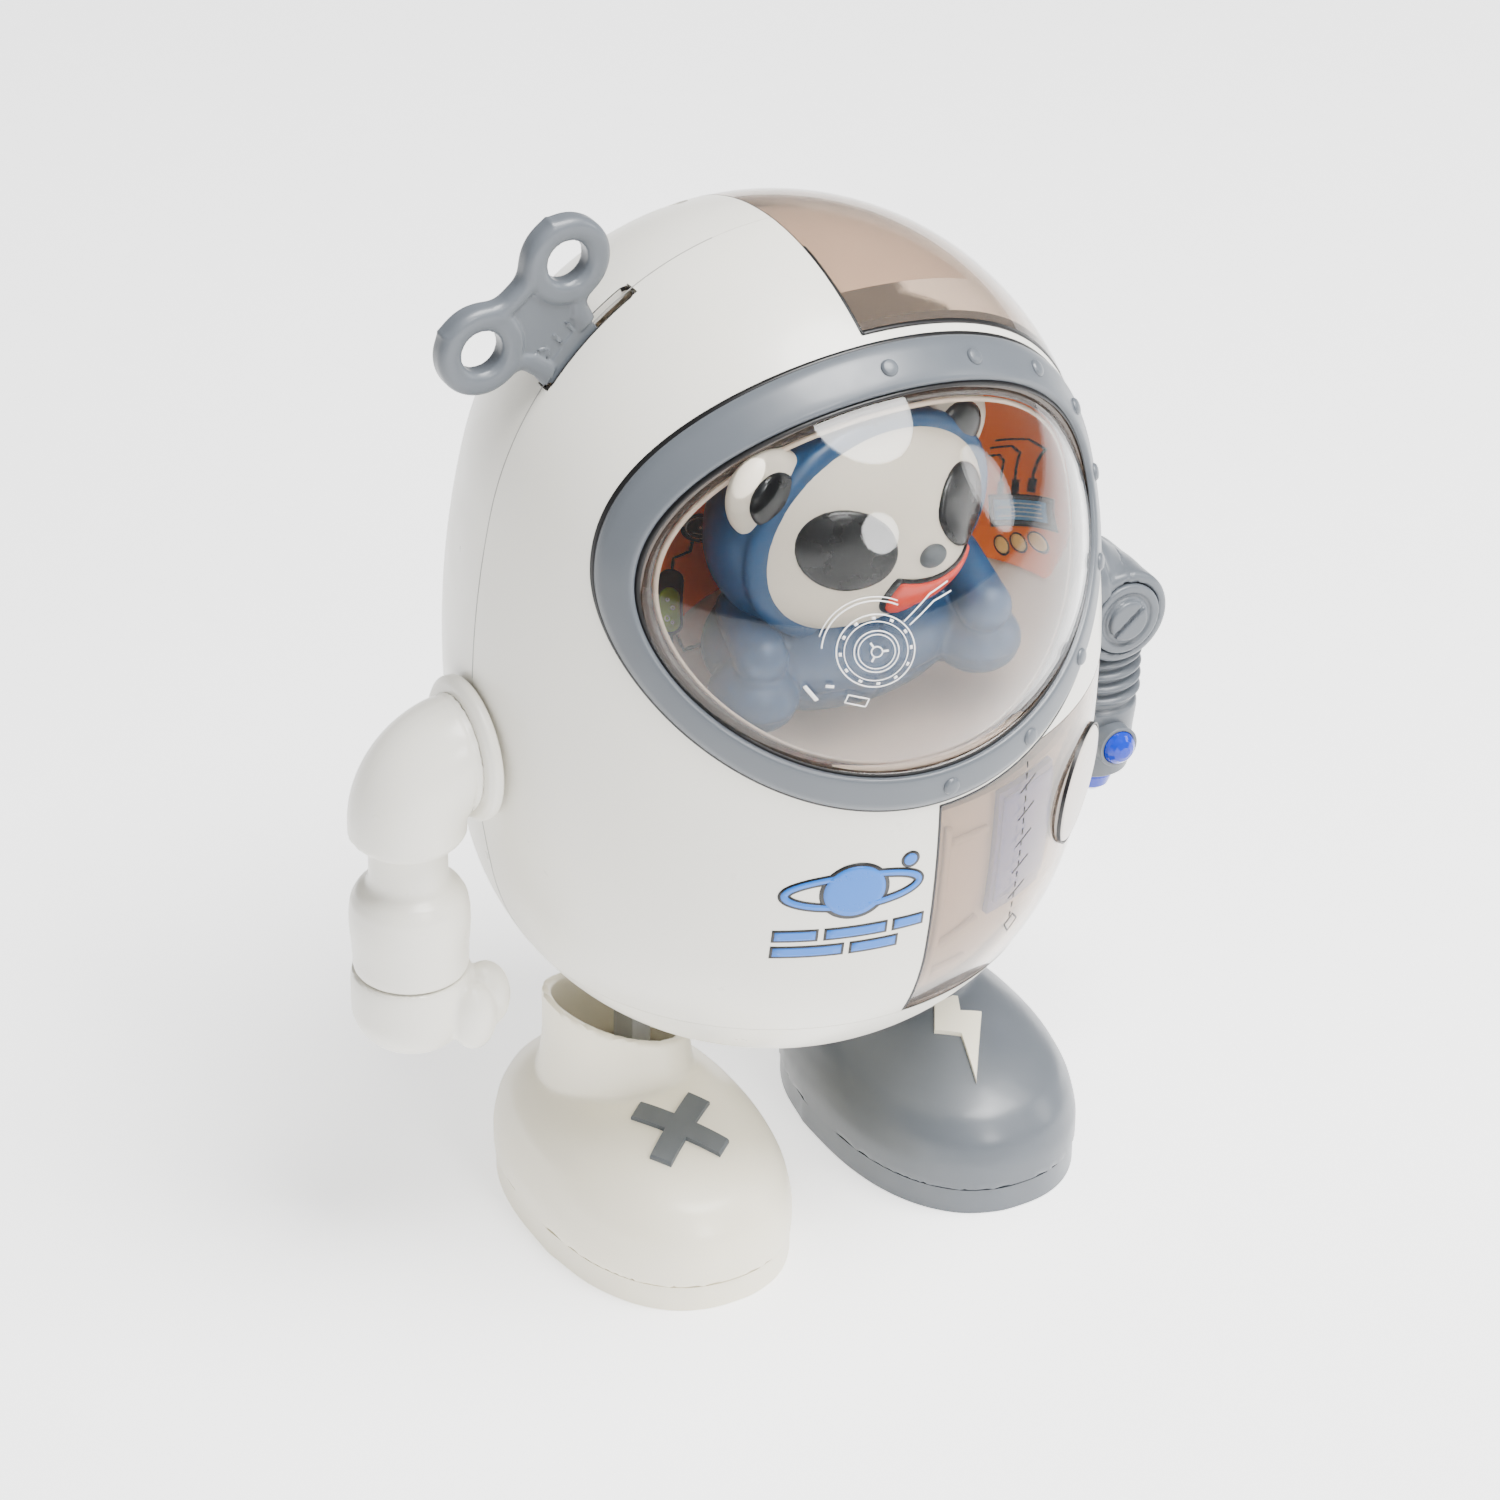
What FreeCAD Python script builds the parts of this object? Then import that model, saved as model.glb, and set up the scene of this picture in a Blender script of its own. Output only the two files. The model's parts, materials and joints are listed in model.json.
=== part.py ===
import FreeCAD, Part
import math
import os
import Sketcher

# Egg-shaped walking and dancing toy robot with a bear pilot behind a clear dome.
# Frame: +Z up, the robot faces -Y, its right hand is on -X, the ground is z = 0.
# Units are millimetres. Every piece is written to parts/ as one STEP file.

V = FreeCAD.Vector
UP, BACKWARD, SIDEWAYS = V(0, 0, 1), V(0, 1, 0), V(1, 0, 0)
os.makedirs("parts", exist_ok=True)
doc = FreeCAD.newDocument("egg_robot")

# ---------------------------------------------------------------- driving dimensions
SHEET = [
    # the egg: three tangent arcs turned about the vertical axis
    ("belly_radius", 64.0), ("belly_height", 119.2), ("side_arc", 192.0), ("top_arc", 60.8),
    ("corner_arc", 55.0), ("corner_drop", 37.0), ("base_height", 47.7), ("shell_wall", 2.0),
    ("seam_back", 2.0), ("seam_gap", 0.14), ("cap_height", 62.0), ("panel_wall", 1.6),
    ("panel_gap", 0.25), ("panel_back", 30.0), ("upper_panel_low", 170.0),
    ("lower_panel_top", 120.0), ("lower_panel_back", -14.0),
    # the visor: an oval seen from the front
    ("visor_height", 157.5), ("visor_wide", 53.0), ("visor_tall", 40.7), ("visor_proud", 1.2),
    ("window_height", 158.0), ("window_wide", 48.6), ("window_tall", 34.2),
    ("dome_height", 144.7), ("dome_wide", 58.6), ("dome_deep", 67.2), ("dome_tall", 60.0),
    ("dome_wall", 1.6), ("rivet_radius", 1.3), ("rivet_count", 9),
    # the cockpit and its pilot
    ("bowl_forward", -40.0), ("bowl_middle", 156.0), ("bowl_wide", 50.5), ("bowl_deep", 43.0),
    ("bowl_tall", 38.0), ("bowl_wall", 1.6), ("bowl_inset", 3.3), ("backdrop_wall", 0.9),
    ("backdrop_low", 138.0), ("head_radius", 20.0), ("ear_radius", 7.0),
    # behind the clear panels
    ("liner_inset", 3.6), ("liner_wall", 1.2), ("disc_radius", 12.0), ("disc_side", 43.0),
    ("disc_front", -47.0), ("disc_height", 98.0), ("disc_thick", 3.0), ("disc_proud", 0.8),
    # the switch key
    ("key_pivot_side", -18.7), ("key_pivot_height", 170.7), ("key_thick", 5.0),
    ("key_web", 2.6), ("lever_thick", 3.2), ("key_lobe", 8.7), ("key_hole", 4.2),
    ("pin_radius", 2.0), ("running_gap", 0.05), ("slot_width", 4.0),
    # drive
    ("crank_height", 72.0), ("crank_throw", 2.5), ("crank_disc", 5.0), ("shaft_radius", 2.0),
    ("plate_inner", 9.5), ("plate_thick", 2.0), ("gear_module", 0.8), ("gear_width", 4.0),
    ("crank_teeth", 42), ("pinion_teeth", 12), ("reduction_teeth", 40),
    ("motor_radius", 8.6), ("motor_length", 25.0),
    # batteries
    ("cell_radius", 7.25), ("cell_length", 50.5), ("cell_pitch", 15.2), ("box_wall", 1.5),
    ("cover_proud", 3.2),
    # arms
    ("shoulder_height", 111.7), ("flange_radius", 14.4), ("flange_inner", 64.3),
    ("flange_outer", 67.3), ("axle_radius", 4.0), ("axle_inner", 55.0),
    ("arm_radius", 11.5), ("arm_reach", 78.3), ("wrist_radius", 5.0), ("hand_radius", 12.0),
    ("forearm_top", 94.7), ("cuff_height", 66.0), ("hand_low", 48.6),
    # legs and shoes
    ("leg_side", 30.0), ("leg_thick", 4.0), ("leg_stem", 8.0), ("ankle_height", 18.0),
    ("ankle_radius", 5.0), ("leg_travel", 2.5), ("clearance", 0.35),
    ("shoe_side", 33.2), ("shoe_forward", -7.8), ("shoe_wide", 25.2), ("shoe_long", 38.9),
    ("sole_thick", 5.6), ("shoe_wall", 2.0), ("collar_radius", 14.6), ("collar_wall", 1.8),
    ("collar_back", 3.0), ("badge_thick", 0.9),
]
sheet = doc.addObject("Spreadsheet::Sheet", "Dims")
for row, (alias, value) in enumerate(SHEET, start=1):
    sheet.set("A%d" % row, str(value))
    sheet.setAlias("A%d" % row, alias)
doc.recompute()


class Size:
    """A length that remembers the spreadsheet expression it came from."""

    def __init__(self, value, text):
        self.value, self.text = float(value), text

    def _join(self, other, sign, value):
        return Size(value, "(%s %s %s)" % (self.text, sign, text_of(other)))

    def __add__(self, other):
        return self._join(other, "+", self.value + value_of(other))

    def __sub__(self, other):
        return self._join(other, "-", self.value - value_of(other))

    def __mul__(self, other):
        return self._join(other, "*", self.value * value_of(other))

    def __neg__(self):
        return Size(-self.value, "(0 - %s)" % self.text)


def value_of(length):
    return length.value if isinstance(length, Size) else float(length)


def text_of(length):
    return length.text if isinstance(length, Size) else repr(float(length))


def size(alias):
    return Size(getattr(sheet, alias), "Dims." + alias)


def mm(alias):
    return float(getattr(sheet, alias))


# ---------------------------------------------------------------- sketch and body helpers
def tie(sketch, piece, end, axis, coordinate):
    """Fix one coordinate of a sketch point, bound to the sheet when it comes from there."""
    if value_of(coordinate) == 0:
        sketch.addConstraint(Sketcher.Constraint("PointOnObject", piece, end, -2 + axis))
        return
    kind = ("DistanceX", "DistanceY")[axis]
    index = sketch.addConstraint(
        Sketcher.Constraint(kind, -1, 1, piece, end, value_of(coordinate)))
    if isinstance(coordinate, Size):
        sketch.setExpression("Constraints[%d]" % index, coordinate.text)


def draw_loop(sketch, corners):
    first, count = sketch.GeometryCount, len(corners)
    spots = [V(value_of(x), value_of(y), 0) for x, y in corners]
    for index in range(count):
        sketch.addGeometry(Part.LineSegment(spots[index], spots[(index + 1) % count]))
    for index in range(count):
        sketch.addConstraint(Sketcher.Constraint(
            "Coincident", first + index, 2, first + (index + 1) % count, 1))
    for index, corner in enumerate(corners):
        for axis in (0, 1):
            tie(sketch, first + index, 1, axis, corner[axis])


def draw_circle(sketch, x, y, radius):
    circle = sketch.addGeometry(Part.Circle(V(value_of(x), value_of(y), 0), UP, value_of(radius)))
    tie(sketch, circle, 3, 0, x)
    tie(sketch, circle, 3, 1, y)
    index = sketch.addConstraint(Sketcher.Constraint("Radius", circle, value_of(radius)))
    if isinstance(radius, Size):
        sketch.setExpression("Constraints[%d]" % index, radius.text)


def new_body(label, plane):
    body = doc.addObject("PartDesign::Body", label)
    body.Label = label
    sketch = body.newObject("Sketcher::SketchObject", label + "_sketch")
    support = [item for item in body.Origin.OriginFeatures if item.Role == plane][0]
    sketch.AttachmentSupport = [(support, "")]
    sketch.MapMode = "FlatFace"
    return body, sketch


def place(body, at, direction=UP):
    body.Placement = FreeCAD.Placement(at, FreeCAD.Rotation(UP, direction))


def turned(label, profile, at=V(0, 0, 0), direction=UP):
    """A body turned about its own Z axis from (radius, height) corners."""
    body, sketch = new_body(label, "XZ_Plane")
    draw_loop(sketch, profile)
    turn = body.newObject("PartDesign::Revolution", label + "_turn")
    turn.Profile = sketch
    turn.ReferenceAxis = (sketch, ["V_Axis"])
    turn.Angle = 360
    place(body, at, direction)
    return body


def padded(label, loops, circles, thick, at=V(0, 0, 0), rotation=None):
    """A plate padded from loops of corners and circles, from z = 0 upward in its own frame."""
    body, sketch = new_body(label, "XY_Plane")
    for corners in loops:
        draw_loop(sketch, corners)
    for circle in circles:
        draw_circle(sketch, *circle)
    pad = body.newObject("PartDesign::Pad", label + "_pad")
    pad.Profile = sketch
    pad.Length = value_of(thick)
    if isinstance(thick, Size):
        pad.setExpression("Length", thick.text)
    body.Placement = FreeCAD.Placement(at, rotation or FreeCAD.Rotation())
    return body


def solid(label, shape):
    piece = doc.addObject("Part::Feature", label)
    piece.Label = label
    piece.Shape = shape
    return piece


PIECES = []


def keep(piece):
    PIECES.append(piece)
    return piece


# ---------------------------------------------------------------- shape helpers
def block(x, y, z):
    return Part.makeBox(x[1] - x[0], y[1] - y[0], z[1] - z[0], V(x[0], y[0], z[0]))


def rod(radius, start, end):
    return Part.makeCylinder(radius, (end - start).Length, start, end - start)


def ball(centre, radii):
    """An ellipsoid with its three half-sizes."""
    unit = Part.makeSphere(1.0)
    scale = FreeCAD.Matrix()
    scale.scale(*radii)
    shape = unit.transformGeometry(scale)
    shape.translate(centre)
    return shape


def oval(wide, tall, height, front=-80.0, back=0.0):
    """An oval cylinder along Y, as the visor is seen from the front."""
    middle = V(0, front, height)
    along_x, along_z = middle + V(wide, 0, 0), middle + V(0, 0, tall)
    if wide >= tall:
        curve = Part.Ellipse(along_x, along_z, middle)
    else:
        curve = Part.Ellipse(along_z, along_x, middle)
    return Part.Face(Part.Wire(curve.toShape())).extrude(V(0, back - front, 0))


def joined(shapes):
    return shapes[0].multiFuse(shapes[1:]).removeSplitter()


def mirrored(shape):
    return shape.mirror(V(0, 0, 0), SIDEWAYS)


class Egg:
    """Centres and joints of the three tangent arcs of the half outline."""
    side = (mm("belly_radius") - mm("side_arc"), mm("belly_height"))
    upper = math.asin(math.sqrt(
        (mm("side_arc") - mm("top_arc")) ** 2 - side[0] ** 2) / (mm("side_arc") - mm("top_arc")))
    top = (0.0, side[1] + (mm("side_arc") - mm("top_arc")) * math.sin(upper))
    lower = -math.asin(mm("corner_drop") / mm("side_arc"))
    reach = mm("side_arc") - mm("corner_arc")
    corner = (side[0] + reach * math.cos(lower), side[1] + reach * math.sin(lower))


def egg(inset):
    """The solid egg, drawn in by a distance on every side."""
    def arc(centre, radius, start, end):
        spots = [V(centre[0] + radius * math.cos(a), 0, centre[1] + radius * math.sin(a))
                 for a in (start, (start + end) / 2, end)]
        return Part.Arc(*spots).toShape(), spots[0], spots[2]

    floor = mm("base_height") + inset
    corner = mm("corner_arc") - inset
    start = -math.asin((Egg.corner[1] - floor) / corner)
    low, rim, _ = arc(Egg.corner, corner, start, Egg.lower)
    side, _, _ = arc(Egg.side, mm("side_arc") - inset, Egg.lower, Egg.upper)
    top, _, tip = arc(Egg.top, mm("top_arc") - inset, Egg.upper, math.pi / 2)
    foot = V(0, 0, floor)
    outline = Part.Wire([Part.makeLine(foot, rim), low, side, top, Part.makeLine(tip, foot)])
    return Part.Face(outline).revolve(V(0, 0, 0), UP, 360)


def egg_radius(height, inset=0.0):
    """Radius of the egg at one height."""
    joint = Egg.side[1] + mm("side_arc") * math.sin(Egg.upper)
    drop = Egg.side[1] + mm("side_arc") * math.sin(Egg.lower)
    if height > joint:
        centre, radius = Egg.top, mm("top_arc")
    elif height > drop:
        centre, radius = Egg.side, mm("side_arc")
    else:
        centre, radius = Egg.corner, mm("corner_arc")
    return centre[0] + math.sqrt((radius - inset) ** 2 - (height - centre[1]) ** 2)


FAR = 90.0
seam, half_gap = mm("seam_back"), mm("seam_gap") / 2
FRONT = (-FAR, seam - half_gap)
REAR = (seam + half_gap, FAR)
cap_top = mm("cap_height")
outer_egg, inner_egg = egg(0.0), egg(mm("shell_wall"))
shoulder = V(0, seam, mm("shoulder_height"))

# ---------------------------------------------------------------- shell, cap and panels
wall = outer_egg.cut(inner_egg)
panel_layer = outer_egg.cut(egg(mm("panel_wall")))
band = oval(mm("visor_wide") + 1.4, mm("visor_tall") + 1.7, mm("visor_height"))
disc_normal = V(mm("disc_side"), mm("disc_front"), -7.2).normalize()
disc_centre = V(mm("disc_side"), mm("disc_front"), mm("disc_height"))


def upper_area(gap):
    area = block((mm("panel_gap") - gap, FAR), (-FAR, mm("panel_back") + gap),
                 (mm("upper_panel_low") - gap, 220))
    return area.cut(band) if gap == 0 else area.cut(
        oval(mm("visor_wide") + 1.4 - gap, mm("visor_tall") + 1.7 - gap, mm("visor_height")))


def lower_area(gap):
    area = block((mm("panel_gap") - gap, FAR), (-FAR, mm("lower_panel_back") + gap),
                 (cap_top + 0.4 - gap, mm("lower_panel_top") + gap))
    return area.cut(
        oval(mm("visor_wide") + 1.0 - gap, mm("visor_tall") + 1.2 - gap, mm("visor_height")))


pivot = V(mm("key_pivot_side"), seam, mm("key_pivot_height"))


def sector(start, end, reach, thick):
    """A wedge about the key's pivot, between two angles measured from +X."""
    half = thick / 2
    spots = [V(pivot.x, pivot.y - half, pivot.z)]
    for step in range(9):
        angle = math.radians(start + (end - start) * step / 8)
        spots.append(V(pivot.x + reach * math.cos(angle), pivot.y - half,
                       pivot.z + reach * math.sin(angle)))
    face = Part.Face(Part.makePolygon(spots + spots[:1]))
    return face.extrude(V(0, thick, 0))


key_slot = sector(109.0, 154.0, 45.0, mm("slot_width"))
SCREWS = [V(-5.5, 0, 200.5), V(-55.5, 0, 84.0), V(55.5, 0, 84.0)]
boss_radius, screw_radius, head_radius, head_depth = 4.0, 1.2, 2.4, 12.0


def screw_boss(spot, start, end):
    tube = rod(boss_radius, V(spot.x, start, spot.z), V(spot.x, end, spot.z))
    return tube.common(outer_egg)


bore = [rod(mm("axle_radius") + mm("running_gap"), V(side * 50, seam, shoulder.z),
            V(side * 70, seam, shoulder.z)) for side in (-1, 1)]


def shoulder_boss(side):
    """The bearing ring inside the shell, halved by the seam."""
    tube = rod(8.0, V(side * 58.5, seam, shoulder.z), V(side * 63.0, seam, shoulder.z))
    return tube.common(outer_egg)


def half_shell(side_range, extra, cuts):
    body = joined([wall] + extra + [shoulder_boss(-1), shoulder_boss(1)])
    body = body.common(block((-FAR, FAR), side_range, (cap_top + 0.06, 220)))
    return body.cut(cuts + bore + [key_slot])


front_cuts = [oval(mm("visor_wide") + 0.15, mm("visor_tall") + 0.15, mm("visor_height")),
              upper_area(mm("panel_gap")), lower_area(mm("panel_gap"))]
front_cuts += [rod(screw_radius, V(s.x, -7, s.z), V(s.x, 5, s.z)) for s in SCREWS]
keep(solid("front_shell", half_shell(
    FRONT, [screw_boss(s, -9 if s.z < 100 else -FAR, seam) for s in SCREWS], front_cuts)))

cover_area = block((-26, 26), (20, FAR), (68, 130))
rear_cuts = [upper_area(mm("panel_gap")), block((-26.3, 26.3), (20, FAR), (67.7, 130.3))]
for spot in SCREWS:
    rear_cuts.append(rod(screw_radius, V(spot.x, 0, spot.z), V(spot.x, head_depth, spot.z)))
    rear_cuts.append(rod(head_radius, V(spot.x, head_depth, spot.z), V(spot.x, FAR, spot.z)))
keep(solid("rear_shell", half_shell(
    REAR, [screw_boss(s, seam, FAR) for s in SCREWS], rear_cuts)))

leg_hole = block((mm("leg_side") - mm("leg_thick") / 2 - mm("clearance"),
                  mm("leg_side") + mm("leg_thick") / 2 + mm("clearance")),
                 (seam - mm("leg_stem") / 2 - mm("clearance"),
                  seam + mm("leg_stem") / 2 + mm("clearance")), (40, cap_top + 10))
cap = wall.common(block((-FAR, FAR), (-FAR, FAR), (40, cap_top - 0.06)))
keep(solid("bottom_cap", cap.cut([leg_hole, mirrored(leg_hole)])))

disc_bore = rod(mm("disc_radius") + mm("panel_gap"), disc_centre - disc_normal * 9,
                disc_centre + disc_normal * 9)
keep(solid("upper_clear_panel", panel_layer.common(upper_area(0))))
keep(solid("lower_clear_panel", panel_layer.common(lower_area(0)).cut(disc_bore)))

liner = egg(mm("liner_inset")).cut(egg(mm("liner_inset") + mm("liner_wall")))
liner_oval = oval(mm("visor_wide") + 3.5, mm("visor_tall") + 3.5, mm("visor_height"), back=40.0)
keep(solid("upper_inner_housing", liner.common(
    block((2, FAR), (-FAR, 26), (176, 220))).cut(liner_oval)))
keep(solid("lower_inner_housing", liner.common(
    block((2, FAR), (-FAR, -17), (64, 112))).cut([liner_oval, disc_bore])))
light_layer = egg(mm("panel_wall") + 0.3).cut(egg(mm("liner_inset") - 0.3))
keep(solid("blue_light_block", light_layer.common(block((15, 30), (-FAR, -20), (83, 112)))))
keep(turned("chest_disc", [
    (0, -size("disc_thick")), (size("disc_radius"), -size("disc_thick")),
    (size("disc_radius"), size("disc_proud") - 0.4),
    (size("disc_radius") - 0.5, size("disc_proud")),
    (size("disc_radius") - 2.0, size("disc_proud")),
    (size("disc_radius") - 2.4, size("disc_proud") - 0.6), (0, size("disc_proud") - 0.6)],
    disc_centre, disc_normal))

# ---------------------------------------------------------------- visor and cockpit
ring_outer = oval(mm("visor_wide"), mm("visor_tall"), mm("visor_height"))
window = oval(mm("window_wide"), mm("window_tall"), mm("window_height"))
ring = egg(-mm("visor_proud")).cut(egg(mm("visor_proud"))).common(ring_outer).cut(window)
rivets = []
for index in range(int(mm("rivet_count"))):
    angle = math.radians(88 - 176 * index / (mm("rivet_count") - 1))
    x = (mm("visor_wide") + mm("window_wide")) / 2 * math.cos(angle)
    z = mm("visor_height") + (mm("visor_tall") + mm("window_tall")) / 2 * math.sin(angle)
    reach = egg_radius(z, -mm("visor_proud") + 0.4)
    rivets.append(Part.makeSphere(mm("rivet_radius"), V(x, -math.sqrt(reach ** 2 - x ** 2), z)))
keep(solid("visor_frame", joined([ring] + rivets)))


def dome(inset):
    return ball(V(0, 0, mm("dome_height")), (mm("dome_wide") - inset, mm("dome_deep") - inset,
                                             mm("dome_tall") - inset))


dome_edge = oval(mm("window_wide") - 0.3, mm("window_tall") - 0.3, mm("window_height"))
lip = egg(mm("visor_proud") + 0.05).cut(egg(3.1))
lip = lip.common(oval(mm("visor_wide") - 1.0, mm("visor_tall") - 1.0, mm("visor_height")))
lip = lip.cut(oval(mm("window_wide") - 1.6, mm("window_tall") - 1.6, mm("window_height")))
bulge = dome(0).cut(dome(mm("dome_wall"))).common(dome_edge).common(
    block((-FAR, FAR), (-FAR, -20), (100, 200)))
keep(solid("visor_dome", joined([bulge, lip])))


def cockpit(inset):
    return ball(V(0, mm("bowl_forward"), mm("bowl_middle")),
                (mm("bowl_wide") - inset, mm("bowl_deep") - inset, mm("bowl_tall") - inset))


bowl_back = egg(mm("bowl_inset"))
bowl = cockpit(0).cut(cockpit(mm("bowl_wall"))).common(bowl_back)
keep(solid("cockpit_bowl", bowl))
backdrop = cockpit(mm("bowl_wall") + 0.05).cut(cockpit(mm("bowl_wall") + mm("backdrop_wall")))
backdrop = backdrop.common(bowl_back).common(dome(mm("dome_wall") + mm("running_gap") * 6))
keep(solid("cockpit_backdrop", backdrop.common(
    block((-FAR, FAR), (-34, FAR), (mm("backdrop_low"), 200)))))

def capsule(radius, start, end):
    """A round-ended rod."""
    return joined([rod(radius, start, end), Part.makeSphere(radius, start),
                   Part.makeSphere(radius, end)])


head = V(0, -31, 165)
head_r = mm("head_radius") - 1.5
head_shape = capsule(head_r, head - V(5, 0, 0), head + V(5, 0, 0))
suit = joined([
    capsule(13.5, V(-11, -30, 139), V(8, -30, 139)),
    Part.makeSphere(7.5, V(-26, -36, 142)), Part.makeSphere(7.5, V(22, -36, 142)),
    capsule(6.2, V(-17, -40, 131.5), V(-17, -46, 131.5)),
    capsule(6.2, V(12, -40, 131.5), V(12, -46, 131.5))])
keep(solid("pilot_suit", suit.cut(head_shape)))
ears = [rod(mm("ear_radius"), V(side * 17, -36, 180), V(side * 17, -29, 180))
        for side in (-1, 1)]
eyes = [Part.makeSphere(4.6, head + V(side * 9.5, -14.6, 2)) for side in (-1, 1)]
mouth = capsule(3.4, head + V(-3, -16.2, -8.5), head + V(3, -16.2, -8.5))
nose = Part.makeSphere(2.4, head + V(0, -17.8, -1.5))
keep(solid("pilot_head", head_shape.cut(ears + eyes + [mouth, nose])))
keep(solid("pilot_ears", Part.Compound(ears)))
keep(solid("pilot_eyes", Part.Compound(eyes)))
keep(solid("pilot_mouth", mouth))
keep(solid("pilot_nose", nose))

# ---------------------------------------------------------------- switch key
key_axis = V(-0.624, 0, 0.781)
key_across = V(0.781, 0, 0.624)
key_base = V(-41.5, seam, 190.1)


def key_plate(corners, thick):
    spots = [key_base + key_axis * u + key_across * v - V(0, thick / 2, 0) for u, v in corners]
    return Part.Face(Part.makePolygon(spots + spots[:1])).extrude(V(0, thick, 0))


def both_sides(half):
    """Corners from the base to the tip on one side, then back down the other."""
    return half + [(u, -v) for u, v in reversed(half)]


def lobe(side, radius, thick):
    middle = key_base + key_axis * 17.1 + key_across * (11.4 * side)
    return rod(radius, middle - V(0, thick / 2, 0), middle + V(0, thick / 2, 0))


thick = mm("key_thick")
key = joined([key_plate(both_sides([(0, 7.3), (5, 6.9), (10, 9.5), (14, 15), (22, 9), (20.2, 3)]),
                        thick)] + [lobe(side, mm("key_lobe"), thick) for side in (-1, 1)])
key = key.cut(rod(33.3, pivot - V(0, 20, 0), pivot + V(0, 20, 0)))
recess_shape = key_plate(both_sides([(4, 5.2), (6, 4.8), (10, 6.2), (14, 7), (17.8, 3)]), 20)
recess_shape = recess_shape.cut([lobe(side, mm("key_hole") + 2.2, 30) for side in (-1, 1)])
web_slab = block((-100, 0), (seam - mm("key_web") / 2, seam + mm("key_web") / 2), (150, 230))
key = key.cut([lobe(side, mm("key_hole"), 30) for side in (-1, 1)])
key = key.cut(recess_shape.cut(web_slab))
hub = rod(5.0, pivot - V(0, mm("lever_thick") / 2, 0), pivot + V(0, mm("lever_thick") / 2, 0))
lever = joined([key, sector(126.5, 151.5, 34.5, mm("lever_thick")), hub])
keep(solid("key_lever", lever.cut(rod(
    mm("pin_radius") + mm("running_gap"), pivot - V(0, 20, 0), pivot + V(0, 20, 0)))))
bracket = block((-34, -13), (seam + 2.2, seam + 10), (164, 184))
pin_front = pivot - V(0, 2.9, 0)
keep(solid("switch_body", bracket.cut(rod(mm("pin_radius"), pivot, pivot + V(0, 8, 0)))))
keep(turned("key_pivot_pin", [
    (0, 0), (3.2, 0), (3.2, 0.9), (size("pin_radius"), 0.9), (size("pin_radius"), 10.5),
    (0, 10.5)], pin_front, BACKWARD))

# ---------------------------------------------------------------- screws, batteries, electrics
screws = []
for spot in SCREWS:
    screws.append(rod(screw_radius, V(spot.x, -6, spot.z), V(spot.x, head_depth, spot.z)))
    screws.append(rod(2.3, V(spot.x, head_depth, spot.z), V(spot.x, head_depth + 1.6, spot.z)))
keep(solid("shell_screws", Part.Compound([joined(screws[i:i + 2]) for i in (0, 2, 4)])))

cell, box_wall = mm("cell_radius"), mm("box_wall")
box_front, box_low = 29.0, 72.0
cell_middle = box_front + box_wall + cell + 0.2
box_x = mm("cell_pitch") + cell + 0.3 + box_wall
box_high = box_low + mm("cell_length") + 2 * box_wall + 3
box = block((-box_x, box_x), (box_front, box_front + 16), (box_low, box_high))
hollow = block((-box_x + box_wall, box_x - box_wall), (box_front + box_wall, 80),
               (box_low + box_wall, box_high - box_wall))
keep(solid("battery_box", box.cut(hollow)))
cells = []
for index in (-1, 0, 1):
    foot = V(index * mm("cell_pitch"), cell_middle, box_low + box_wall + 1.5)
    can = rod(cell, foot, foot + V(0, 0, mm("cell_length") - 1.2))
    cells.append(joined([can, rod(2.7, foot + V(0, 0, 1), foot + V(0, 0, mm("cell_length")))]))
keep(solid("batteries", Part.Compound(cells)))
keep(solid("battery_contacts", Part.Compound([
    block((-box_x + 3, box_x - 3), (cell_middle - 4, cell_middle + 4), (z, z + 0.5))
    for z in (box_low + box_wall, box_high - box_wall - 0.5)])))

cover = egg(-mm("cover_proud")).cut(egg(0.6)).common(cover_area)
cover_screw_z = 126.0
cover = cover.cut(rod(2.6, V(0, 40, cover_screw_z), V(0, FAR, cover_screw_z)))
tab = rod(3.4, V(0, egg_radius(cover_screw_z) - 1.9, cover_screw_z),
          V(0, egg_radius(cover_screw_z) + 0.4, cover_screw_z))
cover_screw_back = egg_radius(cover_screw_z) + 1.6
keep(solid("battery_cover", joined([cover, tab])))
keep(turned("battery_cover_screw", [
    (0, 0), (2.4, 0), (2.4, 0.9), (1.9, 1.3), (0, 1.3)],
    V(0, egg_radius(cover_screw_z) + 0.4, cover_screw_z), BACKWARD))

keep(turned("speaker", [
    (0, 0), (6, 0), (6, 3), (13, 4), (13, 5.2), (10.5, 5.2), (4, 4.2), (0, 4.8)],
    V(-28, -33, 92), V(0, -1, 0)))
board = block((-44, -14), (-29, -27.4), (74, 108))
chips = [block((-40, -33), (-27.4, -26.2), (80, 88)), block((-28, -20), (-27.4, -25.9), (92, 98))]
keep(solid("circuit_board", joined([board] + chips)))

# ---------------------------------------------------------------- gear train
module, width = mm("gear_module"), mm("gear_width")


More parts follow.
